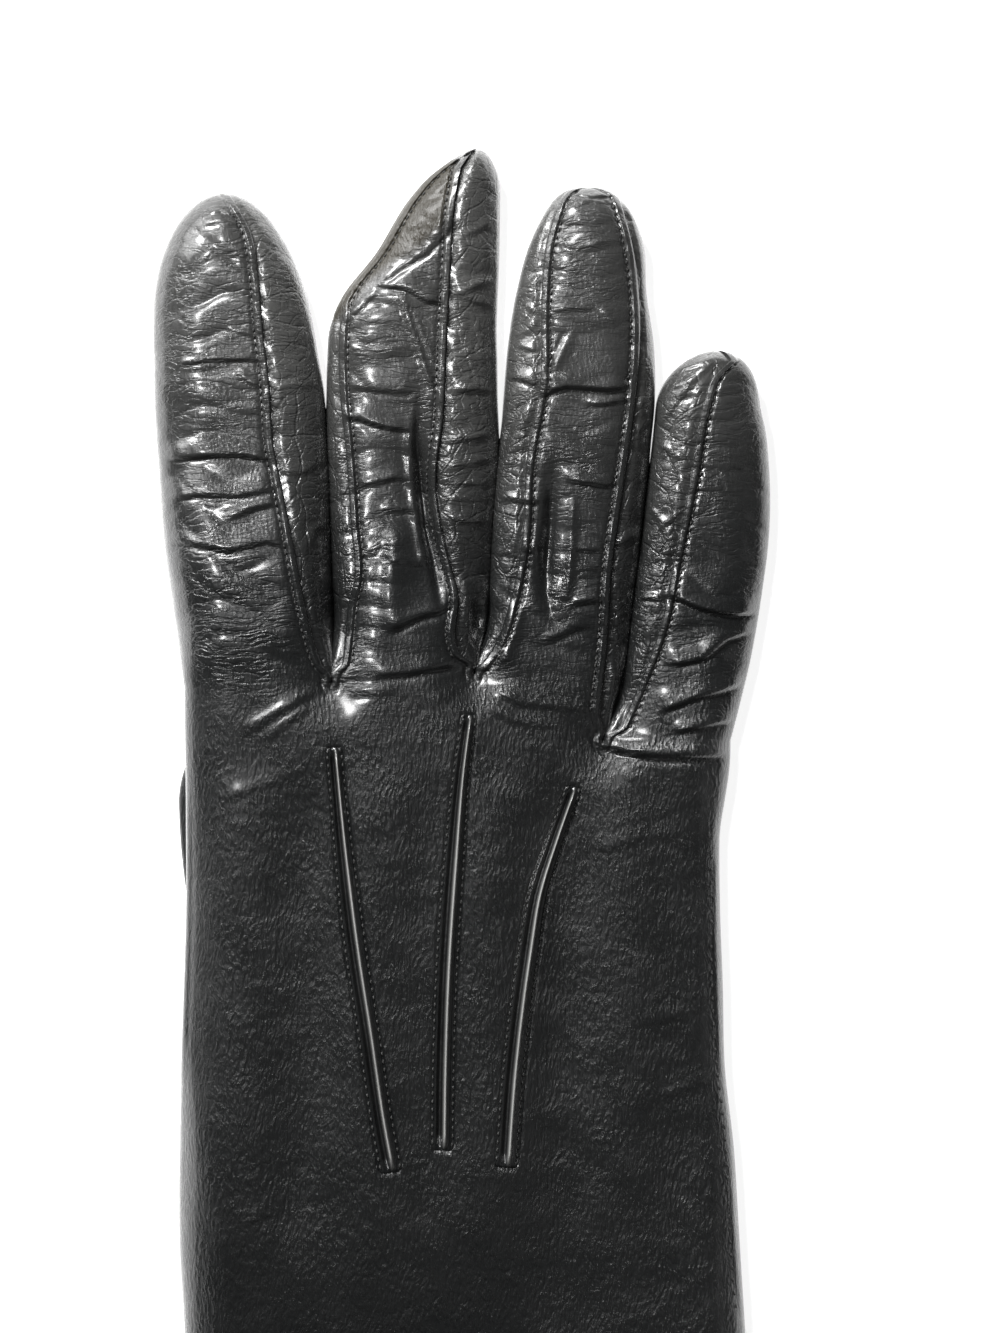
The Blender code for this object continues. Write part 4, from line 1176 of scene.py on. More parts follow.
def make_grain_group(grain: Grain) -> bpy.types.NodeTree:
    """Leather grain: fibres along the arm, fine wrinkles across it, a net of cracks, and pores.

    Args:
        grain: How fine each layer is.

    Returns:
        A group with the grain's Height, and its Fine mask for colour and roughness.
    """
    number = "NodeSocketFloat"
    tree, bench = new_group(
        "Leather grain",
        (
            SocketValue("Vector", "NodeSocketVector", (0, 0, 0)), SocketValue("Fibre", number, 0.5),
            SocketValue("Wrinkle", number, 0.5), SocketValue("Crackle", number, 0.5),
            SocketValue("Pores", number, 0.5),
        ),
        ("Height", "Fine"),
    )
    source = bench.add("NodeGroupInput").outputs
    vector = source["Vector"]
    warp = bench.add("ShaderNodeTexNoise")
    bench.feed(warp.inputs["Vector"], vector)
    warp.inputs["Scale"].default_value = grain.wander_scale
    warp.inputs["Detail"].default_value = 1.0
    moved = bench.add("ShaderNodeVectorMath", operation="MULTIPLY_ADD")
    bench.feed(moved.inputs[0], warp.outputs["Color"])
    moved.inputs[1].default_value = (grain.wander,) * 3
    bench.feed(moved.inputs[2], vector)
    bent = moved.outputs[0]

    fibre = bench.noise(bench.scaled(bent, (1.0, grain.fibre_stretch, 1.0)), grain.fibre_scale, 4.0)
    across = bench.noise(bench.scaled(bent, (grain.wrinkle_stretch, 1.0, 1.0)), grain.wrinkle_scale, 3.0)
    folded = bench.math("ABSOLUTE", bench.math("SUBTRACT", across, 0.5))
    wrinkle = bench.ramp(folded, 0.0, grain.wrinkle_width)

    cracks = bench.add("ShaderNodeTexVoronoi", feature="DISTANCE_TO_EDGE")
    bench.feed(cracks.inputs["Vector"], bent)
    cracks.inputs["Scale"].default_value = grain.net_scale
    net = bench.ramp(cracks.outputs["Distance"], 0.0, grain.net_width)
    large = bench.add("ShaderNodeTexVoronoi", feature="DISTANCE_TO_EDGE")
    bench.feed(large.inputs["Vector"], bent)
    large.inputs["Scale"].default_value = grain.fold_scale
    folds = bench.ramp(large.outputs["Distance"], 0.0, grain.fold_width)
    crackle = bench.math("ADD", bench.math("MULTIPLY", net, grain.net_share), folds)

    pores = bench.add("ShaderNodeTexVoronoi", feature="SMOOTH_F1")
    bench.feed(pores.inputs["Vector"], bench.scaled(vector, (1.0, grain.pore_stretch, 1.0)))
    pores.inputs["Scale"].default_value = grain.pore_scale

    height = bench.math("MULTIPLY", fibre, source["Fibre"])
    height = bench.math("MULTIPLY_ADD", wrinkle, source["Wrinkle"], height)
    height = bench.math("MULTIPLY_ADD", crackle, source["Crackle"], height)
    height = bench.math("MULTIPLY_ADD", pores.outputs["Distance"], source["Pores"], height)
    out = bench.add("NodeGroupOutput")
    bench.feed(out.inputs["Height"], height)
    bench.feed(out.inputs["Fine"], fibre)
    return tree


@dataclass(frozen=True)
class LeatherFinish:
    """Glossy black glove leather. Its base colour holds painted highlight and painted shade as well as wear."""

    name: str
    dark: tuple[float, float, float, float] = (0.0040, 0.0046, 0.0049, 1.0)
    # Lighter grey for wear and painted highlight, blended in where the tone attribute is high.
    worn_and_lit: tuple[float, float, float, float] = (0.037, 0.037, 0.036, 1.0)
    olive: tuple[float, float, float, float] = (0.022, 0.018, 0.010, 1.0)
    roughness: float = 0.34
    spread: float = 0.12
    coat: float = 0.6
    fibre: float = 1.25
    grain_tone: float = 0.10
    grain_gloss: float = -0.09
    wrinkle: float = 0.28
    crackle: float = 0.10
    pores: float = 0.12
    bump: float = 0.00022
    finger_fibre: float = 0.22
    hand_wrinkle: float = 0.15
    patch_scale: float = 70.0
    drift_scale: float = 38.0
    drift: float = 0.12
    gloss_scale: float = 110.0
    # Painted shade: darkens the base colour where the press attribute is high, down the stitched points' channels.
    press_shade: tuple[float, float, float, float] = (0.25, 0.25, 0.25, 1.0)
    press_rough: float = 0.2
    facet_rough: float = 0.14
    facet_dull: float = 0.85
    coat_roughness: float = 0.16

    def make(self, grain: bpy.types.NodeTree) -> bpy.types.Material:
        """Builds the material.

        Args:
            grain: The leather grain group.

        Returns:
            The material. It reads the piece's tone, finger, net, press and facet attributes; tone and press carry
            painted light and shade.
        """
        material = bpy.data.materials.new(self.name)
        material.use_nodes = True
        tree = material.node_tree
        bench = NodeBench(tree)
        shader = tree.nodes["Principled BSDF"]
        place = bench.add("ShaderNodeTexCoord").outputs["Object"]
        reads = {
            name: bench.add("ShaderNodeAttribute", attribute_name=name).outputs["Fac"]
            for name in ("wear_and_light", "finger", "net", "press", "facet")
        }
        group = bench.add("ShaderNodeGroup")
        group.node_tree = grain
        bench.feed(group.inputs["Vector"], place)
        calm = bench.math("SUBTRACT", 1.0, reads["finger"])
        fibre = bench.math("MULTIPLY_ADD", calm, self.fibre, self.fibre * self.finger_fibre)
        bench.feed(group.inputs["Fibre"], fibre)
        patch = bench.ramp(bench.noise(place, self.patch_scale, 2.0), 0.35, 0.65, 0.4, 1.3)
        # How strongly the fine wrinkles show: fully on the fingers, less on the hand. This share is wear alone.
        worn_and_lit = bench.math("MULTIPLY_ADD", reads["finger"], 1 - self.hand_wrinkle, self.hand_wrinkle)
        bench.feed(group.inputs["Wrinkle"], bench.math("MULTIPLY", bench.math("MULTIPLY", worn_and_lit, patch), self.wrinkle))
        bench.feed(group.inputs["Crackle"], bench.math("MULTIPLY", reads["net"], self.crackle))
        group.inputs["Pores"].default_value = self.pores

        bump = bench.add("ShaderNodeBump")
        bump.inputs["Distance"].default_value = self.bump
        bump.inputs["Strength"].default_value = 1.0
        bench.feed(bump.inputs["Height"], group.outputs["Height"])
        bench.feed(shader.inputs["Normal"], bump.outputs["Normal"])

        # Base colour runs from dark to the lighter grey by the tone attribute: partly wear, partly painted light and
        # highlight.
        blend = bench.add("ShaderNodeMix", data_type="RGBA")
        drift = bench.ramp(bench.noise(place, self.drift_scale, 2.0), 0.3, 0.7, -self.drift, self.drift)
        fine = bench.ramp(group.outputs["Fine"], 0.35, 0.68, -0.35, 1.0)
        drifted_wear_and_light = bench.math("ADD", reads["wear_and_light"], bench.math("MULTIPLY", drift, reads["wear_and_light"]))
        wear_and_light = bench.math("MULTIPLY_ADD", fine, self.grain_tone, drifted_wear_and_light, clamp=True)
        bench.feed(blend.inputs[0], wear_and_light)
        blend.inputs[6].default_value = self.dark
        blend.inputs[7].default_value = self.worn_and_lit
        # Painted shade: the base colour is darkened where the press attribute is high, in the channels.
        shade = bench.add("ShaderNodeMix", data_type="RGBA", blend_type="MULTIPLY")
        bench.feed(shade.inputs[0], reads["press"])
        tinted = bench.add("ShaderNodeMix", data_type="RGBA")
        bench.feed(tinted.inputs[0], reads["facet"])
        bench.feed(tinted.inputs[6], blend.outputs[2])
        tinted.inputs[7].default_value = self.olive
        bench.feed(shade.inputs[6], tinted.outputs[2])
        shade.inputs[7].default_value = self.press_shade
        bench.feed(shader.inputs["Base Color"], shade.outputs[2])

        low, high = self.roughness - self.spread / 2, self.roughness + self.spread / 2
        rough = bench.ramp(bench.noise(place, self.gloss_scale, 3.0), 0.3, 0.7, low, high)
        rough = bench.math("MULTIPLY_ADD", fine, self.grain_gloss, rough)
        rough = bench.math("MULTIPLY_ADD", reads["press"], self.press_rough, rough)
        rough = bench.math("MULTIPLY_ADD", reads["facet"], self.facet_rough, rough)
        bench.feed(shader.inputs["Roughness"], rough)
        coat = bench.math("MULTIPLY_ADD", reads["facet"], -self.facet_dull * self.coat, self.coat)
        bench.feed(shader.inputs["Coat Weight"], coat)
        shader.inputs["Coat Roughness"].default_value = self.coat_roughness
        shader.inputs["Specular IOR Level"].default_value = 0.5
        return material


@dataclass(frozen=True)
class ThreadFinish:
    """Waxed black sewing thread, twisted."""

    name: str = "black_thread"
    colour: tuple[float, float, float, float] = (0.012, 0.012, 0.012, 1.0)
    light: tuple[float, float, float, float] = (0.05, 0.05, 0.048, 1.0)

    def make(self) -> bpy.types.Material:
        """Builds the material with a slanting twist in its bump and colour."""
        material = bpy.data.materials.new(self.name)
        material.use_nodes = True
        bench = NodeBench(material.node_tree)
        shader = material.node_tree.nodes["Principled BSDF"]
        place = bench.add("ShaderNodeTexCoord").outputs["Object"]
        twist = bench.add("ShaderNodeTexWave", bands_direction="DIAGONAL")
        bench.feed(twist.inputs["Vector"], place)
        twist.inputs["Scale"].default_value = 1600.0
        blend = bench.add("ShaderNodeMix", data_type="RGBA")
        bench.feed(blend.inputs[0], twist.outputs["Fac"])
        blend.inputs[6].default_value = self.colour
        blend.inputs[7].default_value = self.light
        bench.feed(shader.inputs["Base Color"], blend.outputs[2])
        bump = bench.add("ShaderNodeBump")
        bump.inputs["Distance"].default_value = 0.00004
        bench.feed(bump.inputs["Height"], twist.outputs["Fac"])
        bench.feed(shader.inputs["Normal"], bump.outputs["Normal"])
        bench.feed(shader.inputs["Roughness"], bench.ramp(bench.noise(place, 900.0), 0.3, 0.7, 0.42, 0.6))
        return material


@dataclass(frozen=True)
class FleshFinish:
    """The leather's soft flesh side, seen inside the cuff."""

    name: str = "flesh_side"
    dark: tuple[float, float, float, float] = (0.016, 0.015, 0.014, 1.0)
    light: tuple[float, float, float, float] = (0.040, 0.037, 0.034, 1.0)

    def make(self) -> bpy.types.Material:
        """Builds the suede: a short nap in the bump and a blotchy dark grey."""
        material = bpy.data.materials.new(self.name)
        material.use_nodes = True
        bench = NodeBench(material.node_tree)
        shader = material.node_tree.nodes["Principled BSDF"]
        place = bench.add("ShaderNodeTexCoord").outputs["Object"]
        blend = bench.add("ShaderNodeMix", data_type="RGBA")
        bench.feed(blend.inputs[0], bench.ramp(bench.noise(place, 260.0, 4.0), 0.3, 0.7))
        blend.inputs[6].default_value = self.dark
        blend.inputs[7].default_value = self.light
        bench.feed(shader.inputs["Base Color"], blend.outputs[2])
        bump = bench.add("ShaderNodeBump")
        bump.inputs["Distance"].default_value = 0.00012
        bench.feed(bump.inputs["Height"], bench.noise(place, 3200.0, 3.0))
        bench.feed(shader.inputs["Normal"], bump.outputs["Normal"])
        bench.feed(shader.inputs["Roughness"], bench.ramp(bench.noise(place, 500.0), 0.3, 0.7, 0.8, 0.95))
        return material


@dataclass
class Wardrobe:
    """Every finish of the glove, built once."""

    def __post_init__(self) -> None:
        """Builds the grain group and the materials that use it."""
        grain = make_grain_group(Grain())
        self.skin = LeatherFinish("glove_leather").make(grain)
        # The side strips' lighter grey is partly a painted sheen, standing in for light reflected off them, and
        # partly wear.
        self.strip = LeatherFinish(
            "side_strip_leather", worn_and_lit=(0.060, 0.060, 0.058, 1.0), crackle=0.40, wrinkle=0.34, fibre=0.55,
            grain_tone=0.08, coat=0.8,
        ).make(grain)
        # The point's crest takes this light grey: a painted highlight along the ridge, partly wear.
        self.point = LeatherFinish(
            "point_leather", worn_and_lit=(0.34, 0.34, 0.33, 1.0), grain_tone=0.03, fibre=0.2, wrinkle=0.05, crackle=0.0,
            roughness=0.26,
        ).make(grain)
        self.thread = ThreadFinish().make()
        self.flesh = FleshFinish().make()


# The edge of the smooth olive facet that folds over the middle finger's tip, from its lower end up.
FACET_EDGE = ((344, 322), (372, 290), (398, 270), (425, 254), (447, 232), (459, 190), (462, 160))


@dataclass(frozen=True)
class WearAndLight:
    """Where the leather is grey from wear and painted light, and finely creased, in plan millimetres from the middle
    crotch.
    """

    finger_start: float = -16.0
    finger_run: float = 24.0
    tip_start: float = 8.0
    tip_run: float = 55.0
    right_painted_shade: float = 0.15
    right_start: float = -5.0
    right_run: float = 40.0
    least_tone: float = 0.10
    least_net: float = 0.35
    facet_margin: float = 1.6
    facet_soft: float = 2.2


WEAR_AND_LIGHT = WearAndLight()


def paint(
    piece: bpy.types.Object, shift: Array, net: float, worn_and_lit: Array | None = None, press: Array | None = None
) -> None:
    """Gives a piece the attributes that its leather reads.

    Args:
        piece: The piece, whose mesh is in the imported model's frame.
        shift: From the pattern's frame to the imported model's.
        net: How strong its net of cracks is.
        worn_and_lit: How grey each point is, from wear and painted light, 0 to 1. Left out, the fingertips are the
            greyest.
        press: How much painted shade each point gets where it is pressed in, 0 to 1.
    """
    data = piece.data
    points = np.empty(len(data.vertices) * 3)
    data.vertices.foreach_get("co", points)
    points = points.reshape(-1, 3) - shift
    x, y = points[:, 0] / MM, points[:, 1] / MM
    finger = ease((y - WEAR_AND_LIGHT.finger_start) / WEAR_AND_LIGHT.finger_run)
    # Partly wear, partly painted light: greyer toward the fingertips, nearer the lights, and a painted shade darker
    # to the right, away from them.
    right = ease((x - WEAR_AND_LIGHT.right_start) / WEAR_AND_LIGHT.right_run)
    tip_wear_and_light = ease((y - WEAR_AND_LIGHT.tip_start) / WEAR_AND_LIGHT.tip_run) * (1 - WEAR_AND_LIGHT.right_painted_shade * right)
    edge = PHOTO.plan(FACET_EDGE)
    facet = np.zeros(len(y))
    low, high = edge.min(axis=0) - (WEAR_AND_LIGHT.facet_margin * MM, 0), edge.max(axis=0)
    near = np.all((points[:, :2] > low) & (points[:, :2] < high), axis=1)
    if near.any():
        gap, side, _ = lines_near(points[near, :2], edge)
        facet[near] = ease(gap / (WEAR_AND_LIGHT.facet_soft * MM)) * (side > 0)
    values = {
        "wear_and_light": WEAR_AND_LIGHT.least_tone + (1 - WEAR_AND_LIGHT.least_tone) * tip_wear_and_light if worn_and_lit is None else worn_and_lit,
        "finger": finger * (1 - facet),
        "net": net * (WEAR_AND_LIGHT.least_net + (1 - WEAR_AND_LIGHT.least_net) * finger) * (1 - facet),
        "press": np.zeros(len(y)) if press is None else press,
        "facet": facet,
    }
    for name, value in values.items():
        layer = data.attributes.new(name, "FLOAT", "POINT")
        layer.data.foreach_set("value", np.ascontiguousarray(np.broadcast_to(value, len(y)), dtype=np.float32))


@dataclass
class Trank:
    """The one skin of back, palm, arm and finger fronts and backs."""

    leather: Leather
    shift: Array
    palm_columns: int = 12

    def make_face(self, side: Side) -> bmesh.types.BMesh:
        """Builds the back or the palm as one welded skin."""
        pattern = self.leather.pattern
        count = pattern.finger_columns if side is Side.BACK else self.palm_columns
        flip = side is Side.PALM
        rows = pattern.hand_rows + pattern.arm_rows
        mesh = bmesh.new()

        def hand_place(column: Array, row: Array) -> Array:
            """Points of the hand and arm, from the mouth up."""
            down = rows - row
            level = np.where(
                down <= pattern.hand_rows, down / pattern.hand_rows, 1 + (down - pattern.hand_rows) / pattern.arm_rows
            )
            segment = np.minimum(np.floor(column / count), len(FINGERS) - 1)
            across = segment + crowd(column / count - segment)
            return self.leather.hand_surface(level, across, side)

        add_grid(mesh, count * len(FINGERS), rows, hand_place, flip)
        shares = pattern.finger_shares()
        for i in range(len(FINGERS)):
            edge = pattern.seam_share if side is Side.BACK else pattern.bottom_seam_share
            lefts, rights = edge(i, False, shares), edge(i, True, shares)

            def finger_place(column: Array, row: Array) -> Array:
                """Points of one finger, its root row lying on the hand's."""
                at = row.astype(int)
                v = shares[at]
                s = mix(lefts[at], rights[at], crowd(column / count))
                points = self.leather.finger_surface(i, v, s, side)
                root = at == 0
                points[root, 2] = self.leather.hand_height(points[root, :2], side)
                return points

            add_grid(mesh, count, pattern.finger_rows, finger_place, flip)
        weld(mesh)
        return mesh

    def build(self, wardrobe: Wardrobe) -> None:
        """Builds and dresses both faces of the skin."""
        for side, name in ((Side.BACK, "trank_back"), (Side.PALM, "trank_palm")):
            mesh = self.make_face(side)
            piece = finish_piece(name, mesh, self.shift, wardrobe.skin, ("trank",))
            paint(piece, self.shift, net=0.25)


@dataclass
class Fourchette:
    """The forked strip between two fingers."""

    leather: Leather
    shift: Array
    index: int
    top_columns: int = 15
    bottom_columns: int = 7
    tuck: float = 0.0009
    sunk: float = 0.00045

    def make_strip(self, mesh: bmesh.types.BMesh, i: int, right_side: bool) -> None:
        """Adds the strip up one side of finger i, from its top seam over the edge to its bottom seam."""
        pattern = self.leather.pattern
        shares = pattern.finger_shares()
        tops = pattern.seam_share(i, right_side, shares)
        bottoms = pattern.bottom_seam_share(i, right_side, shares)
        left, right = pattern.finger_edges(i, shares)
        width = np.maximum(right - left, MM)
        edge = 1.0 if right_side else 0.0
        inward = -1.0 if right_side else 1.0

        def place(column: Array, row: Array) -> Array:
            """Points of the strip, from its top seam over the edge to its bottom seam."""
            at = row.astype(int)
            v = shares[at]
            grown = ease(v / (3 * pattern.root_blend))
            top = tops[at] + inward * self.tuck * grown / width[at]
            back = column <= self.top_columns
            t = np.where(back, 1 - column / self.top_columns, (column - self.top_columns) / self.bottom_columns)
            far = np.where(back, top, bottoms[at] + inward * self.tuck * grown / width[at])
            s = np.clip(mix(edge, far, t**1.6), 0.0, 1.0)
            points = self.leather.finger_surface(i, v, s, Side.BACK, stitched=False)
            under = self.leather.finger_surface(i, v, s, Side.PALM)
            points[~back] = under[~back]
            inside = (s - tops[at]) * width[at] * inward
            dip = self.sunk * ease((inside + 1.1 * MM) / (1.1 * MM)) * grown
            points[back, 2] -= dip[back]
            points[~back, 2] += (self.sunk * ease(t - 0.7) * grown)[~back]
            return points

        columns = self.top_columns + self.bottom_columns
        add_grid(mesh, columns, pattern.finger_rows, place, flip=not right_side)

    def build(self, wardrobe: Wardrobe) -> None:
        """Builds and dresses the fourchette."""
        mesh = bmesh.new()
        self.make_strip(mesh, self.index, True)
        self.make_strip(mesh, self.index + 1, False)
        weld(mesh)
        node = f"fourchette_{FINGERS[self.index].name}_{FINGERS[self.index + 1].name}"
        piece = finish_piece(node + "_strip", mesh, self.shift, wardrobe.strip, (node,))
        paint(piece, self.shift, net=1.0)


@dataclass
class StitchedPoint:
    """One of the three tucks on the back: a black channel beside a thin ridge, stitched down on both sides."""

    leather: Leather
    shift: Array
    index: int
    ridge_height: float = 0.00115
    ridge_place: float = 0.25
    channel_depth: float = 0.00065
    channel_place: float = -0.32
    row_place: float = 1.02
    row_depth: float = 0.00025
    reach: float = 1.32
    end_share: float = 0.04
    ridge_width: float = 0.20
    ridge_power: float = 2.4
    channel_width: float = 0.34
    row_width: float = 0.13
    tuck_start: float = 1.17
    tuck_run: float = 0.15
    tuck_end: float = 0.008
    tuck_depth: float = 0.0003
    stand: float = 0.00006
    columns: int = 40
    rows: int = 180

    def spots(self, t: Array, across: Array) -> Array:
        """Plan points at shares t down the point and across its width, -1 to 1."""
        pattern = self.leather.pattern
        rows = POINTS[self.index][1]
        along = mix(rows[0].along, rows[-1].along, t)
        step = 0.004
        middle = np.stack([follow(rows, along, "across") * pattern.palm_width, -along * pattern.hand_length], axis=-1)
        ahead = follow(rows, along + step, "across") * pattern.palm_width
        behind = follow(rows, along - step, "across") * pattern.palm_width
        heading = np.stack([ahead - behind, np.full_like(ahead, -2 * step * pattern.hand_length)], axis=-1)
        heading /= np.linalg.norm(heading, axis=1)[:, None]
        sideways = np.stack([-heading[:, 1], heading[:, 0]], axis=-1)
        return middle + sideways * (across * pattern.point_half(t))[:, None]

    def relief(self, t: Array, across: Array) -> tuple[Array, Array, Array]:
        """The point's height over the plain skin, and how much crest and channel each place has."""
        end_gap = np.minimum(t, 1 - t)
        ends = ease(end_gap / self.end_share)
        crest = np.exp(-np.abs((across - self.ridge_place) / self.ridge_width) ** self.ridge_power) * ends
        channel = bell(across - self.channel_place, self.channel_width) * ends
        rows = bell(np.abs(across) - self.row_place, self.row_width) * ends
        tucked = ease((np.abs(across) - self.tuck_start) / self.tuck_run)
        tucked = np.maximum(tucked, 1 - ease(end_gap / self.tuck_end))
        height = self.ridge_height * crest - self.channel_depth * channel - self.row_depth * rows
        return height + self.stand - self.tuck_depth * tucked, crest, channel

    def build(self, wardrobe: Wardrobe) -> None:
        """Builds and dresses the point."""
        name = POINTS[self.index][0]
        mesh = bmesh.new()
        marks: dict[str, Array] = {}

        def place(column: Array, row: Array) -> Array:
            """Points of the tuck, and marks of its crest and channel."""
            t = 1 - row / self.rows
            across = self.reach * (-1 + 2 * column / self.columns)
            points = self.spots(t, across)
            height, marks["crest"], marks["channel"] = self.relief(t, across)
            return np.column_stack([points, self.leather.hand_height(points, Side.BACK) + height])

        add_grid(mesh, self.columns, self.rows, place)
        piece = finish_piece(name + "_tuck", mesh, self.shift, wardrobe.point, (name,))
        # The crest is coloured lighter as a painted highlight, partly wear, and the channel is darkened as painted
        # shade.
        paint(piece, self.shift, net=0.0, worn_and_lit=marks["crest"], press=marks["channel"])


@dataclass
class Thumb:
    """The thumb, flattened under the palm."""

    leather: Leather
    shift: Array
    columns: int = 28
    rows: int = 90

    def build(self, wardrobe: Wardrobe) -> None:
        """Builds and dresses the thumb as a closed pillow."""
        pattern = self.leather.pattern
        mesh = bmesh.new()
        for sign in (-1.0, 1.0):

            def place(column: Array, row: Array) -> Array:
                """Points of the thumb's upper or lower face."""
                t = (1 - np.cos(np.pi * row / self.rows)) / 2
                x, y, half = pattern.thumb_line(t)
                across = -np.cos(np.pi * column / self.columns)
                end_gap = np.minimum(t, 1 - t) * pattern.thumb_length
                swell = pattern.roll(half * (1 - np.abs(across)), pattern.thumb_roll)
                swell = swell * pattern.roll(end_gap, pattern.thumb_roll)
                z = pattern.thumb_thickness / 2 * (1 + sign * swell)
                return np.column_stack([x + half * across, y, z])

            add_grid(mesh, self.columns, self.rows, place, flip=sign < 0)
        weld(mesh)
        piece = finish_piece("thumb_skin", mesh, self.shift, wardrobe.skin, ("thumb",))
        paint(piece, self.shift, net=0.3)


@dataclass
class Cuff:
    """The open end of the sleeve: its turned hem and the leather's flesh side inside."""

    leather: Leather
    shift: Array
    columns: int = 110
    inside_rows: int = 40
    wall: float = 0.0010
    hem_height: float = 0.009
    hem_stand: float = 0.00035
    stitch_height: float = 0.007

    def profile(self) -> list[tuple[float, float]]:
        """The hem's section: how far up the sleeve and how far off the skin, from outside over the rim to inside."""
        out, inner = self.hem_stand, -self.wall - self.hem_stand
        middle = (out + inner) / 2
        return [
            (self.hem_height, -0.2 * MM), (self.hem_height - 0.3 * MM, out), (self.stitch_height + 0.4 * MM, out),
            (self.stitch_height, out - 0.12 * MM), (self.stitch_height - 0.4 * MM, out), (0.8 * MM, out),
            (0.3 * MM, out - 0.1 * MM), (0.05 * MM, middle + 0.4 * MM), (0.0, middle),
            (0.05 * MM, middle - 0.4 * MM), (0.3 * MM, inner + 0.1 * MM), (0.8 * MM, inner),
            (self.hem_height - 0.3 * MM, inner), (self.hem_height, -self.wall + 0.1 * MM),
        ]

    def level(self, height: float) -> float:
        """The level down the arm at a height above the mouth."""
        return 2.0 - height / self.leather.pattern.arm_length

    def add_rings(self, mesh: bmesh.types.BMesh, rings: Sequence[Array], flip: bool) -> None:
        """Adds a sleeve through closed rings of points."""

        def place(column: Array, row: Array) -> Array:
            """Points read off the rings."""
            return np.array(rings)[row.astype(int), column.astype(int)]

        add_grid(mesh, 2 * self.columns, len(rings) - 1, place, flip)
        weld(mesh)

    def build(self, wardrobe: Wardrobe) -> None:
        """Builds and dresses the hem and the flesh side."""
        leather = self.leather
        hem = bmesh.new()
        rings = [leather.sleeve_ring(self.level(up), self.columns, off) for up, off in self.profile()]
        self.add_rings(hem, rings, flip=True)
        piece = finish_piece("cuff_hem", hem, self.shift, wardrobe.skin, ("trank",))
        paint(piece, self.shift, net=0.1)
        lining = bmesh.new()
        levels = np.linspace(self.level(0.5 * MM), 1.0, self.inside_rows + 1)
        rings = [leather.sleeve_ring(float(level), self.columns, -self.wall) for level in levels]
        self.add_rings(lining, rings, flip=False)
        finish_piece("flesh_side", lining, self.shift, wardrobe.flesh, ())


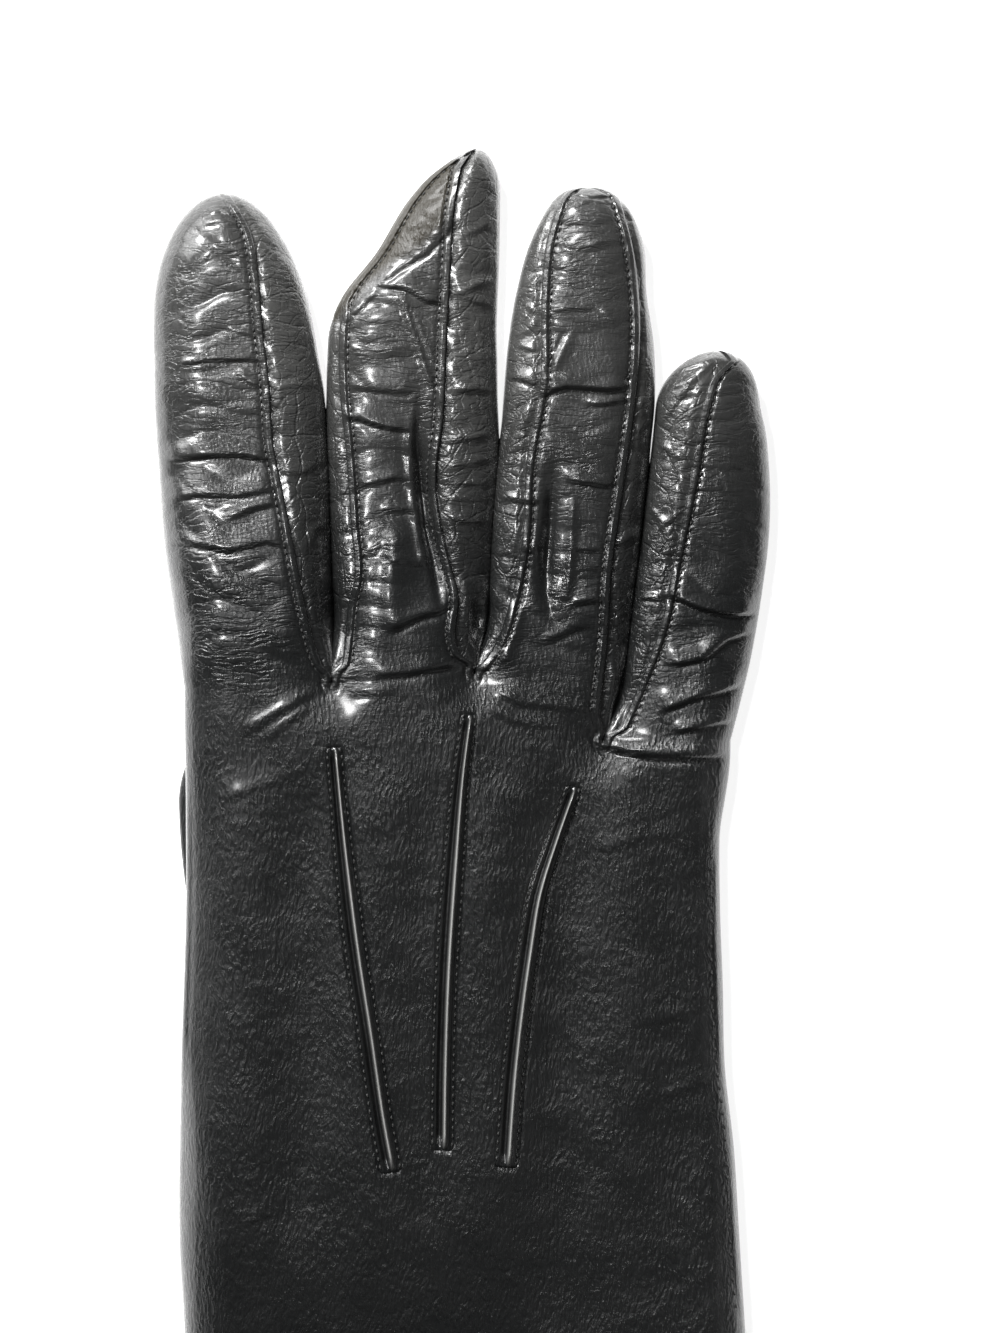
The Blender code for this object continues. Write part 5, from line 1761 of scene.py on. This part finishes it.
@dataclass
class Stitching:
    """Rows of short stitches, each one a small bead of thread laid along its seam."""

    leather: Leather
    shift: Array
    length: float = 0.00082
    thick: float = 0.00034
    long_pitch: float = 1.6
    underside_inset: float = 0.0009
    side_seam_inset: float = 0.0007

    def sew(self, mesh: bmesh.types.BMesh, points: Array, pitch: float, lift: float = 0.0) -> int:
        """Lays stitches along a line of surface points.

        Args:
            mesh: The mesh to add to.
            points: Points on the leather along the row.
            pitch: From one stitch to the next.
            lift: How far the thread stands off the leather.

        Returns:
            How many stitches were laid.
        """
        steps = np.linalg.norm(np.diff(points, axis=0), axis=1)
        at = np.concatenate([[0.0], np.cumsum(steps)])
        count = int(at[-1] / pitch)
        for n in range(count):
            centre = (n + 0.5) * pitch
            ends = [
                Vector([float(np.interp(centre + reach, at, points[:, k])) for k in range(3)])
                for reach in (-self.length / 2, self.length / 2)
            ]
            run = ends[1] - ends[0]
            turn = run.to_track_quat("X", "Z").to_matrix().to_4x4()
            size = Matrix.Diagonal((run.length / 2, self.thick / 2, self.thick / 2, 1.0))
            middle = (ends[0] + ends[1]) / 2 + Vector((0, 0, lift))
            place = Matrix.Translation(middle) @ turn @ size
            bmesh.ops.create_uvsphere(mesh, u_segments=6, v_segments=4, radius=1.0, matrix=place)
        return count

    def build_fingers(self, wardrobe: Wardrobe) -> None:
        """Sews the fingers' top seams."""
        pattern = self.leather.pattern
        mesh = bmesh.new()
        v = np.linspace(0.03, 0.97, 260)
        for seam in SEAMS:
            share = pattern.seam_share(seam.finger, seam.right_side, v)
            left, right = pattern.finger_edges(seam.finger, v)
            inset = pattern.stitch_inset / np.maximum(right - left, MM)
            share = share - inset if seam.right_side else share + inset
            keep = (share > 0.02) & (share < 0.98)
            points = self.leather.finger_surface(seam.finger, v[keep], share[keep], Side.BACK)
            self.sew(mesh, points, pattern.stitch_pitch, 0.00012)
        finish_piece("finger_stitching", mesh, self.shift, wardrobe.thread, ())

    def build_points(self, wardrobe: Wardrobe, points: Sequence[StitchedPoint]) -> None:
        """Sews both sides of the three points."""
        mesh = bmesh.new()
        t = np.linspace(0.0, 1.0, 160)
        for point in points:
            for side in (-1.0, 1.0):
                across = np.full_like(t, side * point.row_place)
                plan = point.spots(t, across)
                height = self.leather.hand_height(plan, Side.BACK) + point.relief(t, across)[0]
                self.sew(mesh, np.column_stack([plan, height]), self.leather.pattern.stitch_pitch, 0.00010)
        finish_piece("point_stitching", mesh, self.shift, wardrobe.thread, ())

    def build_underside(self, wardrobe: Wardrobe) -> None:
        """Sews the fingers' bottom seams and the seam round the thumb."""
        pattern = self.leather.pattern
        mesh = bmesh.new()
        v = np.linspace(0.05, 0.95, 200)
        for i in range(len(FINGERS)):
            left, right = pattern.finger_edges(i, v)
            for right_side in (False, True):
                share = pattern.bottom_seam_share(i, right_side, v)
                if np.all((share < 1e-6) | (share > 1 - 1e-6)):
                    continue
                inset = self.underside_inset / np.maximum(right - left, MM)
                share = share - inset if right_side else share + inset
                points = self.leather.finger_surface(i, v, share, Side.PALM)
                self.sew(mesh, points, pattern.stitch_pitch, 0.0)
        t = np.linspace(0.03, 0.97, 160)
        x, y, half = pattern.thumb_line(t)
        for side in (-1.0, 1.0):
            edge = np.column_stack([x + side * half * 0.97, y, np.full_like(t, 0.42 * pattern.thumb_thickness)])
            self.sew(mesh, edge, pattern.stitch_pitch, 0.0)
        finish_piece("underside_stitching", mesh, self.shift, wardrobe.thread, ())

    def build_sleeve(self, wardrobe: Wardrobe, cuff: Cuff) -> None:
        """Sews the hem round the mouth and the side seam down the little finger's edge."""
        mesh = bmesh.new()
        pitch = self.long_pitch * self.leather.pattern.stitch_pitch
        ring = self.leather.sleeve_ring(cuff.level(cuff.stitch_height), 400, cuff.hem_stand - 0.12 * MM)
        self.sew(mesh, ring[ring[:, 2] > 0.6 * MM], pitch, 0.00005)
        line = PHOTO.plan(next(crease.pixels for crease in CREASES if crease.name == "side seam"))
        y = np.linspace(line[0, 1], line[-1, 1], 300)
        x = smooth_through(line[::-1, 1], line[::-1, 0], y) - self.side_seam_inset
        plan = np.stack([x, y], axis=-1)
        self.sew(mesh, np.column_stack([plan, self.leather.hand_height(plan, Side.BACK)]), pitch, 0.00005)
        finish_piece("sleeve_stitching", mesh, self.shift, wardrobe.thread, ())


@dataclass(frozen=True)
class Lamp:
    """A soft rectangular light: its place in metres from the camera's target, its size, and its power in watts."""

    name: str
    place: tuple[float, float, float]
    size: tuple[float, float]
    power: float


LAMPS = (
    Lamp("key", (-0.32, 0.52, 0.44), (0.26, 0.18), 9.0),
    Lamp("side", (-0.62, 0.50, 0.36), (0.30, 0.50), 3.4),
    Lamp("sheen", (-0.18, 0.20, 0.70), (0.07, 0.07), 1.5),
    Lamp("fill", (0.80, -0.40, 0.70), (0.60, 0.60), 0.3),
)


@dataclass(frozen=True)
class Studio:
    """White floor, soft lights and the camera over the hand."""

    view_height: float = 0.208
    distance: float = 0.9
    sensor: float = 36.0
    floor_size: float = 3.0
    floor_glow: float = 0.85
    world_glow: float = 0.06

    def add_floor(self) -> None:
        """A plain white floor."""
        mesh = bmesh.new()
        bmesh.ops.create_grid(mesh, x_segments=1, y_segments=1, size=self.floor_size)
        data = bpy.data.meshes.new("floor")
        mesh.to_mesh(data)
        mesh.free()
        material = bpy.data.materials.new("white_floor")
        material.use_nodes = True
        shader = material.node_tree.nodes["Principled BSDF"]
        shader.inputs["Base Color"].default_value = (0.95, 0.95, 0.95, 1.0)
        shader.inputs["Roughness"].default_value = 0.9
        shader.inputs["Emission Color"].default_value = (1.0, 1.0, 1.0, 1.0)
        shader.inputs["Emission Strength"].default_value = self.floor_glow
        data.materials.append(material)
        floor = bpy.data.objects.new("floor", data)
        bpy.context.scene.collection.objects.link(floor)

    def add_light(self, lamp: Lamp) -> None:
        """A soft light that faces the level of the hand."""
        data = bpy.data.lights.new(lamp.name, "AREA")
        data.shape = "RECTANGLE"
        data.size, data.size_y = lamp.size
        data.energy = lamp.power
        light = bpy.data.objects.new(lamp.name, data)
        target = Vector((0.0, CAMERA_TARGET[1], 0.0))
        light.location = target + Vector(lamp.place)
        light.rotation_euler = (target - light.location).to_track_quat("-Z", "Y").to_euler()
        bpy.context.scene.collection.objects.link(light)

    def add_camera(self, target: Array) -> None:
        """A camera straight above the part of the glove that the photograph shows."""
        data = bpy.data.cameras.new("camera")
        data.sensor_width = self.sensor
        data.lens = self.sensor * self.distance / self.view_height
        data.clip_start = 0.01
        camera = bpy.data.objects.new("camera", data)
        camera.location = Vector((target[0], target[1], PATTERN.edge_height + self.distance))
        bpy.context.scene.collection.objects.link(camera)
        bpy.context.scene.camera = camera

    def build(self) -> None:
        """Sets up floor, lights, world and camera."""
        scene = bpy.context.scene
        self.add_floor()
        for lamp in LAMPS:
            self.add_light(lamp)
        world = bpy.data.worlds.new("studio")
        world.use_nodes = True
        background = world.node_tree.nodes["Background"]
        background.inputs["Color"].default_value = (1.0, 1.0, 1.0, 1.0)
        background.inputs["Strength"].default_value = self.world_glow
        scene.world = world
        scene.view_settings.view_transform = "Standard"
        self.add_camera(CAMERA_TARGET)


PATTERN = Pattern()
SHIFT = PATTERN.shift()
CAMERA_TARGET = PHOTO.plan([(500.0, 666.5)])[0] + SHIFT[:2]


def main() -> None:
    """Builds the glove piece by piece."""
    logging.basicConfig(level=logging.INFO, format="%(name)s %(message)s")
    leather = Leather(PATTERN)
    wardrobe = Wardrobe()
    Trank(leather, SHIFT).build(wardrobe)
    for index in range(len(FINGERS) - 1):
        Fourchette(leather, SHIFT, index).build(wardrobe)
    Thumb(leather, SHIFT).build(wardrobe)
    points = [StitchedPoint(leather, SHIFT, index) for index in range(len(POINTS))]
    for point in points:
        point.build(wardrobe)
    cuff = Cuff(leather, SHIFT)
    cuff.build(wardrobe)
    stitching = Stitching(leather, SHIFT)
    stitching.build_fingers(wardrobe)
    stitching.build_points(wardrobe, points)
    stitching.build_underside(wardrobe)
    stitching.build_sleeve(wardrobe, cuff)
    Studio().build()


if __name__ == "__main__":
    main()
